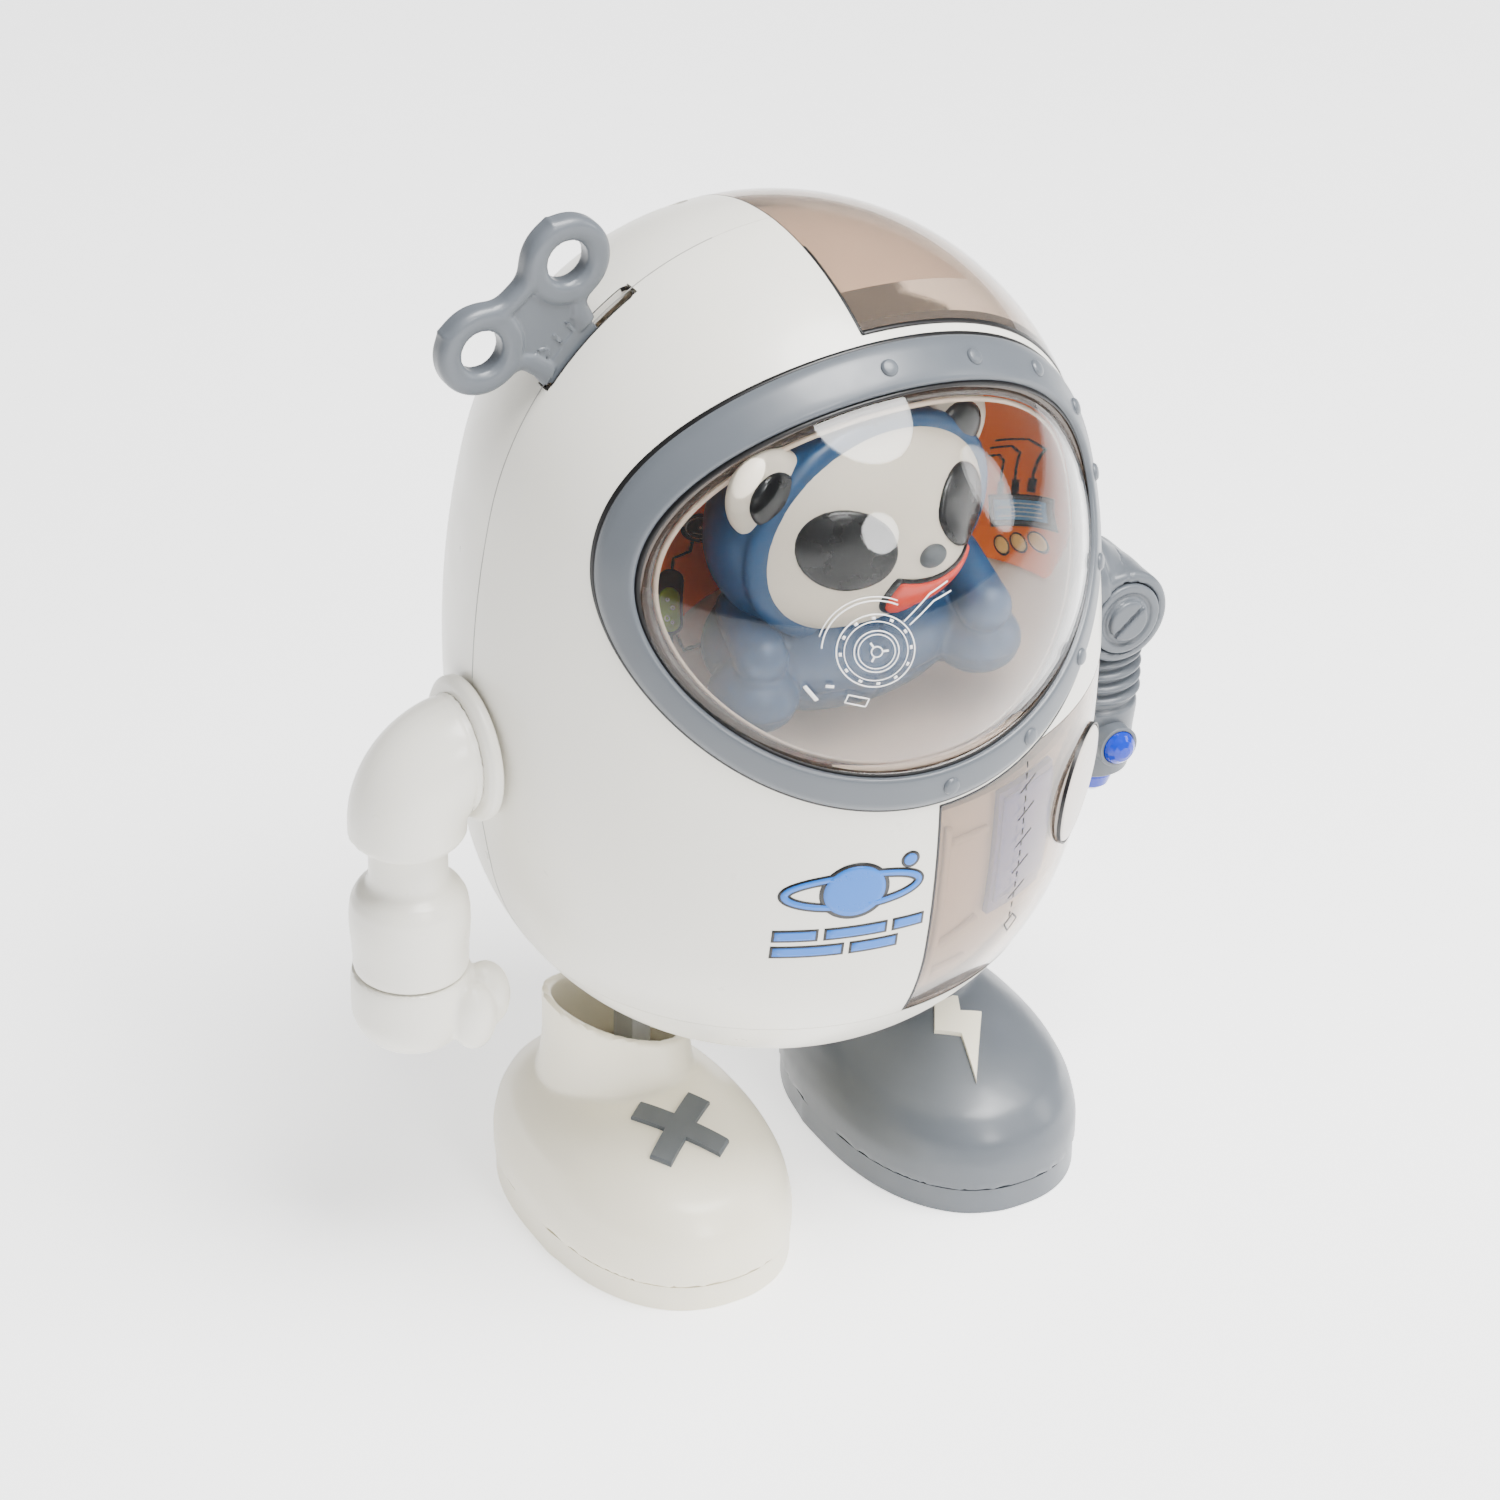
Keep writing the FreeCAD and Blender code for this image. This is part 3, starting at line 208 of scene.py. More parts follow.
LOOK = {
    "white_plastic": plastic("white_shell", (231, 228, 218), 0.32, 0.012, 0.03, coat=0.15,
                             scatter=0.05),
    "cream_plastic": plastic("cream_shell", (240, 233, 212), 0.33, 0.015, 0.04, coat=0.1,
                             scatter=0.05),
    "grey_plastic": plastic("grey_shell", (85, 90, 96), 0.36, 0.03, 0.05, coat=0.1),
    "smoky_clear": clear("smoky_panel", (224, 208, 194), 0.035, 0.95),
    "clear_dome": clear("dome_clear", (253, 253, 252), 0.012, 1.0, 1.42),
    "blue_clear": clear("blue_lamp", (2, 44, 180), 0.08, 0.12),
    "beige_plastic": plastic("beige_housing", (226, 211, 197), 0.5, 0.03, 0.05),
    "orange_print": plastic("orange_backdrop", (250, 118, 26), 0.4, 0.04, 0.03),
    "suit_blue": plastic("suit_blue", (2, 58, 98), 0.42, 0.04, 0.0),
    "pilot_white": plastic("pilot_white", (226, 216, 198), 0.42, 0.02, 0.03, scatter=0.05),
    "pilot_black": plastic("pilot_black", (8, 10, 13), 0.28, 0.2, 0.02),
    "pilot_coral": plastic("pilot_coral", (222, 58, 34), 0.35, 0.05, 0.03),
    "badge_grey": plastic("badge_grey", (84, 89, 93), 0.5, 0.05, 0.06),
    "black_plastic": plastic("dark_parts", (40, 38, 38), 0.5, 0.1, 0.08),
    "gear_plastic": plastic("gear_parts", (215, 208, 190), 0.45, 0.03, 0.05),
    "steel": metal("steel", (176, 178, 182), 0.32),
    "brass": metal("brass", (208, 172, 96), 0.3),
    "board_green": plastic("board_green", (20, 80, 42), 0.4, 0.1, 0.06),
}
INK = plastic("print_black", (12, 11, 12), 0.38, 0.1, 0.02)
SKY = plastic("print_sky_blue", (0, 104, 196), 0.34, 0.02, 0.02)
LIME = plastic("print_lime", (150, 190, 20), 0.38, 0.05, 0.02)
SCREEN = plastic("print_screen", (110, 165, 205), 0.35, 0.05, 0.02)
LAMP = plastic("print_lamp", (250, 200, 120), 0.35, 0.03, 0.02)
PALE_LINE = plastic("print_pale", (236, 234, 232), 0.3, 0.03, 0.02)
BOWL_LOOK = plastic("bowl_cream", (236, 212, 190), 0.42, 0.02, 0.0)
LEG_GREY = plastic("leg_grey", (170, 172, 172), 0.45, 0.03, 0.05)
SEAM_GREY = plastic("seam_shade", (150, 148, 143), 0.5, 0.03, 0.02)

OWN_LOOK = {"right_leg": LEG_GREY, "left_leg": LEG_GREY, "switch_body": LOOK["black_plastic"]}
slots_of = {row["node"]: row["material_slot"] for row in frame["record"]["subparts"]}
for node_name, node_object in NODES.items():
    look = LOOK[slots_of[node_name]]
    node_object.data.materials.clear()
    node_object.data.materials.append(OWN_LOOK.get(node_name, look))


# ------------------------------------------------------------------ mesh helpers (inputs in mm)
def piece(name, points, faces, look, body, replaced=(), smooth=True, angle=None):
    mesh = bpy.data.meshes.new(name)
    mesh.from_pydata([tuple(float(c) * MM for c in p) for p in points], [], faces)
    mesh.validate()
    helper = bmesh.new()
    helper.from_mesh(mesh)
    bmesh.ops.recalc_face_normals(helper, faces=helper.faces)
    if angle is not None:
        sharp = math.radians(angle)
        for edge in helper.edges:
            if len(edge.link_faces) == 2 and edge.calc_face_angle(0.0) > sharp:
                edge.smooth = False
    helper.to_mesh(mesh)
    helper.free()
    if smooth:
        mesh.polygons.foreach_set("use_smooth", [True] * len(mesh.polygons))
    mesh.materials.append(look)
    obj = bpy.data.objects.new(name, mesh)
    bpy.context.scene.collection.objects.link(obj)
    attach(obj, body)
    if replaced:
        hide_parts(*replaced)
    return obj


def grid_faces(rows, count, closed=True):
    """Quads between neighbouring rows of count points, each row a closed loop."""
    faces = []
    for row in range(rows if closed else rows - 1):
        low, high = row * count, (row + 1) % rows * count
        for i in range(count):
            j = (i + 1) % count
            faces.append((low + i, low + j, high + j, high + i))
    return faces


def rounded(profile, radius, steps=5):
    """A polygon's corners turned to small arcs; ends on the axis stay sharp."""
    out = []
    count = len(profile)
    for index, corner in enumerate(profile):
        here = Vector(corner)
        before, after = Vector(profile[index - 1]), Vector(profile[(index + 1) % count])
        if here.x <= 1e-6:
            out.append(tuple(here))
            continue
        into, away = (before - here), (after - here)
        reach = min(radius, into.length * 0.45, away.length * 0.45)
        start, end = here + into.normalized() * reach, here + away.normalized() * reach
        for step in range(steps + 1):
            t = step / steps
            out.append(tuple(start * (1 - t) ** 2 + here * 2 * t * (1 - t) + end * t * t))
    return out


def lathe(name, profile, at, axis, look, body, replaced=(), soft=0.4, around=96,
          angle=40):
    """A closed turned piece from (radius, height) corners that start and end on the axis."""
    outline = rounded(profile, soft) if soft else list(profile)
    turn = Vector((0, 0, 1)).rotation_difference(Vector(axis)).to_matrix()
    points, faces, rings = [], [], []
    for radius, height in outline:
        if radius <= 1e-6:
            rings.append([len(points)])
            points.append(Vector(at) + turn @ Vector((0, 0, height)))
            continue
        ring = []
        for index in range(around):
            a = 2 * math.pi * index / around
            ring.append(len(points))
            points.append(Vector(at) + turn @ Vector(
                (radius * math.cos(a), radius * math.sin(a), height)))
        rings.append(ring)
    closed = profile[0][0] > 1e-6
    pairs = list(zip(rings, rings[1:])) + ([(rings[-1], rings[0])] if closed else [])
    for low, high in pairs:
        if len(low) == 1 and len(high) == 1:
            continue
        for index in range(around):
            after = (index + 1) % around
            if len(low) == 1:
                faces.append((low[0], high[index], high[after]))
            elif len(high) == 1:
                faces.append((low[index], low[after], high[0]))
            else:
                faces.append((low[index], low[after], high[after], high[index]))
    return piece(name, points, faces, look, body, replaced, angle=angle)


# distance fields: negative inside, in mm, over arrays of points
def f_capsule(p, a, b, r):
    a, b = np.array(a, float), np.array(b, float)
    along = b - a
    t = np.clip(((p - a) @ along) / max(along @ along, 1e-9), 0, 1)
    return np.linalg.norm(p - a - t[..., None] * along, axis=-1) - r


def f_ball(p, centre, radii):
    q = (p - np.array(centre, float)) / np.array(radii, float)
    k0 = np.linalg.norm(q, axis=-1)
    k1 = np.linalg.norm(q / np.array(radii, float), axis=-1)
    return k0 * (k0 - 1) / np.maximum(k1, 1e-9)


def off_axis(q, axis):
    """Distance from a line through the origin along x, y or z (0, 1, 2)."""
    others = [i for i in range(3) if i != axis]
    return np.hypot(q[..., others[0]], q[..., others[1]])


def f_drum(p, centre, axis, r, low, high, edge=0.5):
    """A cylinder with rounded edges."""
    q = p - np.array(centre, float)
    dx = off_axis(q, axis) - (r - edge)
    dy = np.abs(q[..., axis] - (low + high) / 2) - ((high - low) / 2 - edge)
    outside = np.hypot(np.maximum(dx, 0), np.maximum(dy, 0))
    return np.minimum(np.maximum(dx, dy), 0) + outside - edge


def f_box(p, centre, half, edge=0.5, turn=None):
    q = p - np.array(centre, float)
    if turn is not None:
        q = q @ turn
    d = np.abs(q) - (np.array(half, float) - edge)
    return (np.linalg.norm(np.maximum(d, 0), axis=-1)
            + np.minimum(np.max(d, axis=-1), 0) - edge)


def f_ring(p, centre, axis, major, minor):
    q = p - np.array(centre, float)
    return np.hypot(off_axis(q, axis) - major, q[..., axis]) - minor


def blend_in(a, b, k):
    """Union with a soft fillet of about k."""
    h = np.clip(0.5 + 0.5 * (b - a) / k, 0, 1)
    return b * (1 - h) + a * h - k * h * (1 - h)


def carve(a, b, k=0.3):
    """a without b, with a softened edge."""
    return -blend_in(-a, b, k)


def skin(name, field, low, high, step, look, body, replaced=(), angle=None):
    """A smooth closed mesh of a distance field's surface (surface nets, then two corrections)."""
    low, high = np.array(low, float), np.array(high, float)
    counts = np.ceil((high - low) / step).astype(int) + 1
    axes = [low[i] + step * np.arange(counts[i]) for i in range(3)]
    grid = np.stack(np.meshgrid(*axes, indexing="ij"), axis=-1)
    value = field(grid)
    inside = value < 0
    cells = tuple(counts - 1)
    total, weight = np.zeros(cells + (3,)), np.zeros(cells)
    corners = [(i, j, k) for i in (0, 1) for j in (0, 1) for k in (0, 1)]

    def part(array, corner):
        i, j, k = corner
        return array[i:i + cells[0], j:j + cells[1], k:k + cells[2]]

    for first in corners:
        for second in corners:
            if first < second and sum(abs(a - b) for a, b in zip(first, second)) == 1:
                va, vb = part(value, first), part(value, second)
                cross = (va < 0) != (vb < 0)
                t = np.where(cross, va / np.where(cross, va - vb, 1.0), 0.0)[..., None]
                spot = part(grid, first) * (1 - t) + part(grid, second) * t
                total += np.where(cross[..., None], spot, 0.0)
                weight += cross
    used = weight > 0
    number = np.full(cells, -1)
    number[used] = np.arange(used.sum())
    points = total[used] / weight[used][:, None]
    h = step * 0.1
    for _ in range(3):
        here = field(points)
        slope = np.stack([(field(points + np.eye(3)[i] * h) - field(points - np.eye(3)[i] * h))
                          / (2 * h) for i in range(3)], axis=-1)
        size2 = np.maximum((slope ** 2).sum(-1), 0.25)
        move = slope * (here / size2)[:, None]
        length = np.linalg.norm(move, axis=-1, keepdims=True)
        points = points - move * np.minimum(1.0, 0.5 * step / np.maximum(length, 1e-9))
    faces = []
    for axis in range(3):
        u, v = (axis + 1) % 3, (axis + 2) % 3
        head = [slice(None)] * 3
        tail = [slice(None)] * 3
        head[axis], tail[axis] = slice(0, -1), slice(1, None)
        for s in (head, tail):
            s[u], s[v] = slice(1, -1), slice(1, -1)
        starts, ends = inside[tuple(head)], inside[tuple(tail)]
        spots = np.argwhere(starts != ends)
        flips = starts[starts != ends]
        offset = np.zeros(3, int)
        offset[u], offset[v] = 1, 1
        base = spots + offset
        quad = []
        for du, dv in ((0, 0), (-1, 0), (-1, -1), (0, -1)):
            cell = base.copy()
            cell[:, u] += du
            cell[:, v] += dv
            quad.append(number[cell[:, 0], cell[:, 1], cell[:, 2]])
        quad = np.stack(quad, axis=-1)
        quad[~flips] = quad[~flips][:, ::-1]
        faces.append(quad[(quad >= 0).all(axis=1)])
    return piece(name, points, np.concatenate(faces).tolist(), look, body, replaced,
                 angle=angle)


# flat art laid on a curved surface: each function returns (points2d, faces)
def art_fill(outline, rings=6):
    """A filled convex-ish shape: scaled copies of its outline about its middle."""
    centre = np.mean(outline, axis=0)
    count = len(outline)
    points = [tuple(centre)]
    for ring in range(1, rings + 1):
        points += [tuple(centre + (np.array(p) - centre) * ring / rings) for p in outline]
    faces = []
    for index in range(count):
        after = (index + 1) % count
        faces.append((0, 1 + index, 1 + after))
        for ring in range(rings - 1):
            a, b = 1 + ring * count, 1 + (ring + 1) * count
            faces.append((a + index, b + index, b + after, a + after))
    return points, faces


def art_line(path, wide, closed=False, step=0.6):
    """A ribbon along a path."""
    path = [np.array(p, float) for p in path]
    if closed:
        path.append(path[0])
    dense = [path[0]]
    for a, b in zip(path, path[1:]):
        parts = max(1, int(np.linalg.norm(b - a) / step))
        dense += [a + (b - a) * i / parts for i in range(1, parts + 1)]
    if closed:
        dense = dense[:-1]
    points, faces, count = [], [], len(dense)
    for index, here in enumerate(dense):
        before = dense[index - 1] if closed or index else here
        after = dense[(index + 1) % count] if closed or index < count - 1 else here
        along = after - before
        along /= max(np.linalg.norm(along), 1e-9)
        side = np.array((-along[1], along[0])) * wide / 2
        points += [tuple(here - side), tuple(here + side)]
    for index in range(count if closed else count - 1):
        a, b = 2 * index, 2 * ((index + 1) % count)
        faces.append((a, b, b + 1, a + 1))
    return points, faces


def circle(x, y, rx, ry=None, count=48, start=0.0, sweep=360.0):
    ry = rx if ry is None else ry
    return [(x + rx * math.cos(math.radians(start + sweep * i / count)),
             y + ry * math.sin(math.radians(start + sweep * i / count))) for i in range(count)]


def poly(corners, step=1.0):
    """A polygon's outline with extra points along its sides."""
    out = []
    for a, b in zip(corners, corners[1:] + corners[:1]):
        a, b = np.array(a, float), np.array(b, float)
        parts = max(1, int(np.linalg.norm(b - a) / step))
        out += [tuple(a + (b - a) * i / parts) for i in range(parts)]
    return out


def lay(name, shapes, surface, lift, look, body="body", thick=0.08):
    """Lays flat art on a surface as one thin closed print."""
    points, faces = [], []
    for flat, flat_faces in shapes:
        first = len(points)
        under = first + len(flat)
        points += [surface(x, z, lift + thick) for x, z in flat]
        points += [surface(x, z, lift) for x, z in flat]
        faces += [tuple(first + i for i in f) for f in flat_faces]
        faces += [tuple(under + i for i in reversed(f)) for f in flat_faces]
        edges = {}
        for f in flat_faces:
            for a, b in zip(f, f[1:] + f[:1]):
                edges[(a, b)] = 1
        for a, b in edges:
            if (b, a) not in edges:
                faces.append((first + b, first + a, under + a, under + b))
    return piece(name, points, faces, look, body)


# ------------------------------------------------------------------ shoes
OUTLINE_POWER = 2.28
SOLE_TOP = 5.6
SHOE_ROOF = 28.4
SHOE_WALL = 2.2
ELBOW_Z = 105.0


def oval_level(x, y):
    """1 on the rounded-square oval of the shoes' outline, less inside it."""
    return (np.abs(x) ** OUTLINE_POWER + np.abs(y) ** OUTLINE_POWER) ** (1 / OUTLINE_POWER)


def shoe_field(side):
    def field(p):
        wide, long, mid = shoe_radii(p[..., 2])
        level = oval_level((p[..., 0] - side * SHOE_X) / wide, (p[..., 1] - mid) / long)
        wall = (level - 1) * np.minimum(wide, long)
        roof = p[..., 2] - SHOE_ROOF
        return -blend_in(-wall * 0.8, -roof, 1.5)
    return field


def smooth_table(heights, values):
    """A smooth curve through a few (height, value) pairs."""
    fine = np.linspace(heights[0], heights[-1], 200)
    rough = np.interp(fine, heights, values)
    kernel = np.hanning(31)
    kernel /= kernel.sum()
    padded = np.concatenate([np.full(15, rough[0]), rough, np.full(15, rough[-1])])
    return fine, np.convolve(padded, kernel, mode="valid")


SHOE_H = (-2.0, 5.7, 11.0, 16.0, 20.5, 24.0, 26.8, 28.6, 31.0)
WIDE = smooth_table(SHOE_H, (25.2, 25.2, 25.3, 24.4, 22.4, 19.2, 15.4, 12.4, 8.0))
LONG = smooth_table(SHOE_H, (38.9, 38.9, 38.8, 37.3, 34.1, 28.6, 22.0, 16.0, 9.0))
MIDS = smooth_table(SHOE_H, (-7.8, -7.8, -7.8, -7.5, -6.7, -5.0, -2.4, 0.8, 3.0))


def shoe_radii(z):
    return np.interp(z, *WIDE), np.interp(z, *LONG), np.interp(z, *MIDS)


COLLAR_Y, COLLAR_R = 3.0, 14.7
TILT = math.atan2(11.0, 27.0)


def collar_top(p, side):
    """Distance above the collar's leaning rim."""
    x = (p[..., 0] - side * SHOE_X) * side
    return (p[..., 2] - 40.5 - x * math.tan(TILT)) * math.cos(TILT)


def upper_field(side):
    shoe = shoe_field(side)

    def field(p):
        body = shoe(p)
        q = p - np.array((side * SHOE_X, COLLAR_Y, 0.0))
        radial = np.hypot(q[..., 0], q[..., 1])
        flare = 0.8 * np.clip((36 - p[..., 2]) / 8, 0, 1)
        tube = np.maximum(radial - COLLAR_R - flare, 20 - p[..., 2])
        tube = -blend_in(-tube, -collar_top(p, side), 1.0)
        whole = blend_in(body, tube, 0.9)
        hollow = np.maximum(radial - (COLLAR_R - 1.9), 18 - p[..., 2])
        whole = carve(whole, hollow, 0.8)
        whole = np.maximum(whole, SOLE_TOP + 0.35 - p[..., 2])
        inner = shoe_inner(side)(p)
        return np.maximum(whole, -inner)
    return field


def shoe_inner(side):
    def field(p):
        z = p[..., 2] + 2.0
        wide, long, mid = shoe_radii(z)
        wide, long = wide - SHOE_WALL, long - SHOE_WALL
        level = oval_level((p[..., 0] - side * SHOE_X) / wide, (p[..., 1] - mid) / long)
        return np.maximum((level - 1) * wide, z - 27.0)
    return field


def drop_on(field, x, y, top=32.0):
    """Heights where vertical lines at (x, y) meet a field's surface from above."""
    low, high = np.full(len(x), 8.0), np.full(len(x), top)
    for _ in range(30):
        half = (low + high) / 2
        value = field(np.stack([x, y, half], axis=-1))
        high = np.where(value > 0, half, high)
        low = np.where(value > 0, low, half)
    return high


def shoe_badge(name, outlines, side, look, body, node):
    """A raised plate with a bevelled edge that follows the shoe's upper."""
    field = shoe_field(side)
    points, faces = [], []
    for outline in outlines:
        flat, flat_faces = art_fill(outline, 5)
        centre = np.mean(outline, axis=0)
        inner = [tuple(centre + (np.array(p) - centre) * 0.97) for p in flat]
        layers = []
        for lift, spots in ((-0.6, flat), (0.65, flat), (0.95, inner)):
            x = np.array([p[0] for p in spots])
            y = np.array([p[1] for p in spots])
            z = drop_on(field, x, y)
            layers.append(len(points))
            points += [(a, b, c + lift) for a, b, c in zip(x, y, z)]
        rim = [len(flat) - len(outline) + i for i in range(len(outline))]
        faces += [tuple(layers[2] + i for i in f) for f in flat_faces]
        faces += [tuple(layers[0] + i for i in reversed(f)) for f in flat_faces]
        for low, high in ((layers[0], layers[1]), (layers[1], layers[2])):
            for a, b in zip(rim, rim[1:] + rim[:1]):
                faces.append((low + a, low + b, high + b, high + a))
    return piece(name, points, faces, look, body, (node,), angle=35)


def cross_outline(x, y, reach, wide, angle):
    """One plus-shaped outline, turned."""
    h = wide / 2
    corners = [(h, h), (h, reach), (-h, reach), (-h, h), (-reach, h), (-reach, -h), (-h, -h),
               (-h, -reach), (h, -reach), (h, -h), (reach, -h), (reach, h)]
    c, s = math.cos(math.radians(angle)), math.sin(math.radians(angle))
    return poly([(x + a * c - b * s, y + a * s + b * c) for a, b in corners], 0.8)


SHOE_STEP = 1.0
for side, word, shade in ((-1, "right", "cream_plastic"), (1, "left", "grey_plastic")):
    low_x, high_x = side * SHOE_X - 27, side * SHOE_X + 27
    skin(word + "_shoe_top", upper_field(side), (low_x, -48.5, 3.2), (high_x, 33.5, 50), SHOE_STEP,
         LOOK[shade], word + "_shoe", (word + "_shoe_upper",), angle=50)

badge_x, badge_y = 32.6, -23.0
shoe_badge("right_shoe_cross", [cross_outline(-badge_x, badge_y, 9.6, 4.6, 38)], -1,
           LOOK["badge_grey"], "right_shoe", "right_shoe_badge")
BOLT = [(33.8, -9.4), (37.6, -12.4), (35.6, -16.8), (39.6, -18.6), (29.2, -34.0), (32.4, -22.6),
        (27.8, -19.6)]
shoe_badge("left_shoe_bolt", [poly(BOLT, 0.8)], 1, LOOK["cream_plastic"],
           "left_shoe", "left_shoe_badge")

# ------------------------------------------------------------------ right arm
white, grey = LOOK["white_plastic"], LOOK["grey_plastic"]
FLANGE = [(0, 55.0), (5.6, 55.0), (5.6, 57.4), (4.0, 57.4), (4.0, 64.3), (13.9, 64.3),
          (FLANGE_R, 64.8), (FLANGE_R, 66.3), (13.2, FLANGE_OUT), (0, FLANGE_OUT)]
for side, word, shade in ((-1, "right", "white_plastic"), (1, "left", "grey_plastic")):
    lathe(word + "_shoulder_disc", FLANGE, (0, SEAM, SHOULDER), (side, 0, 0), LOOK[shade],
          word + "_arm", (word + "_shoulder_flange",), soft=0.5)


def peg_socket(p, x):
    """The hole in an upper arm that the forearm's peg turns in."""
    return f_drum(p, (x, SEAM, 0), 2, 5.05, 80, 104.3, 0.05)


def bend_field(p):
    """The right upper arm: a fat bend from the shoulder down to the forearm."""
    bend, tube = 12.7, 11.45
    q = p - np.array((RIGHT_X + bend, SEAM, SHOULDER - bend))
    out = -q[..., 0]
    radial = np.hypot(out, q[..., 2]) - bend
    ring = np.hypot(radial, q[..., 1]) - tube
    quarter = np.where((out >= 0) & (q[..., 2] >= 0), ring, 99.0)
    start = f_drum(p, (0, SEAM, SHOULDER), 0, tube, RIGHT_X + bend, -FLANGE_OUT + 0.8, 0.01)
    end = f_drum(p, (RIGHT_X, SEAM, 0), 2, tube, 95.0, SHOULDER - bend + 0.3, 3.4)
    end = np.where(p[..., 2] > SHOULDER - bend - 2.0,
                   np.hypot(p[..., 0] - RIGHT_X, p[..., 1] - SEAM) - tube, end)
    end = np.where(p[..., 2] > SHOULDER - bend, 99.0, end)
    whole = np.minimum(quarter, end)
    whole = np.where(q[..., 0] > 0, start, whole)
    whole = np.maximum(whole, p[..., 0] + FLANGE_OUT)
    groove = f_ring(p, (-FLANGE_OUT - 1.2, SEAM, SHOULDER), 0, tube + 0.1, 0.45)
    whole = carve(whole, groove, 0.4)
    split = np.maximum(np.abs(p[..., 1] - SEAM) - 0.10, -whole - 0.28)
    return np.maximum(carve(whole, split, 0.15), -peg_socket(p, RIGHT_X))


skin("right_upper_arm_bend", bend_field, (-92.5, SEAM - 13, 93.5), (-65.5, SEAM + 13, 126), 0.6,
     white, "right_arm", ("right_upper_arm",), angle=50)
FOREARM = [(0, 104.0), (5.0, 104.0), (5.0, 94.7), (7.7, 94.7), (7.7, 87.0), (8.2, 85.6),
           (10.2, 84.2), (11.4, 82.0), (11.8, 79.0), (11.8, 76.0), (11.4, 71.0), (11.3, 67.6),
           (11.0, 66.15), (0, 66.15)]
lathe("right_forearm_sleeve", FOREARM, (RIGHT_X, SEAM, 0), (0, 0, 1), white, "right_forearm",
      ("right_forearm",), soft=0.8)


def hand_field(p):
    """A mitten: a round palm, a thumb and a folded finger toward the body."""
    palm = f_drum(p, (RIGHT_X, SEAM, 0), 2, 11.9, 48.8, 72.0, 9.0)
    palm = np.maximum(palm, p[..., 2] - 65.85)
    thumb = f_ball(p, (RIGHT_X + 12.6, SEAM - 6.2, 58.6), (5.2, 4.6, 7.4))
    finger = f_ball(p, (RIGHT_X + 8.2, SEAM - 10.2, 57.4), (4.6, 4.2, 7.2))
    whole = blend_in(palm, finger, 1.2)
    whole = blend_in(whole, thumb, 1.0)
    whole = np.maximum(whole, p[..., 2] - 65.9)
    return np.maximum(whole, 48.65 - p[..., 2])


skin("right_mitten", hand_field, (-91.5, SEAM - 16.5, 47), (-58.5, SEAM + 13.5, 67.5), 0.6, white,
     "right_forearm", ("right_hand",), angle=50)


# ------------------------------------------------------------------ left arm
def left_arm_field(p):
    shoulder, elbow = (70.2, SEAM, SHOULDER), (LEFT_X, SEAM, ELBOW_Z)
    stub = f_drum(p, (0, SEAM, SHOULDER), 0, 10.4, FLANGE_OUT - 3, 73.0, 0.4)
    upper = f_capsule(p, shoulder, elbow, 10.0)
    whole = blend_in(stub, upper, 1.6)
    hub = f_drum(p, (LEFT_X, SEAM, ELBOW_Z), 1, 10.1, -9.6, 9.6, 1.2)
    whole = blend_in(whole, hub, 0.8)
    lower = f_drum(p, (LEFT_X, SEAM, 0), 2, 9.3, 95.4, ELBOW_Z, 1.4)
    whole = blend_in(whole, lower, 1.0)
    axis = np.array((LEFT_X - 70.2, 0, ELBOW_Z - SHOULDER))
    axis /= np.linalg.norm(axis)
    along = (p - np.array((73.4, SEAM, 109.0))) @ axis
    whole = carve(whole, np.maximum(np.abs(along) - 0.18, -whole - 0.45), 0.3)
    whole = np.maximum(whole, FLANGE_OUT - p[..., 0])
    seat = f_drum(p, (LEFT_X, SEAM, ELBOW_Z), 1, 8.0, -20, -8.4, 0.2)
    return np.maximum(carve(whole, seat, 0.3), -peg_socket(p, LEFT_X))


skin("left_upper_arm_joint", left_arm_field, (66, SEAM - 12, 93.5), (92.5, SEAM + 12, 124), 0.6,
     grey, "left_arm", ("left_upper_arm",), angle=50)


def cap_field(p):
    """The elbow's round boss with a slanted slot."""
    c = (LEFT_X, 0, ELBOW_Z)
    front = SEAM - 8.4
    disc = f_drum(p, c, 1, 7.7, front - 1.9, front, 0.5)
    inner = f_drum(p, c, 1, 4.4, front - 2.9, front, 0.6)
    moat = f_ring(p, (LEFT_X, front - 1.9, ELBOW_Z), 1, 5.4, 0.5)
    whole = blend_in(carve(disc, moat, 0.2), inner, 0.2)
    slant = math.radians(38)
    turn = np.array(((math.cos(slant), 0, -math.sin(slant)), (0, 1, 0),
                     (math.sin(slant), 0, math.cos(slant))))
    cut = f_box(p, (LEFT_X, front - 3.1, ELBOW_Z), (6.0, 1.1, 0.55), 0.15, turn)
    return carve(whole, cut, 0.2)


skin("left_elbow_boss", cap_field, (LEFT_X - 9, SEAM - 12.4, 96), (LEFT_X + 9, SEAM - 7.6, 114),
     0.35, grey, "left_arm", ("left_elbow_cap",), angle=50)

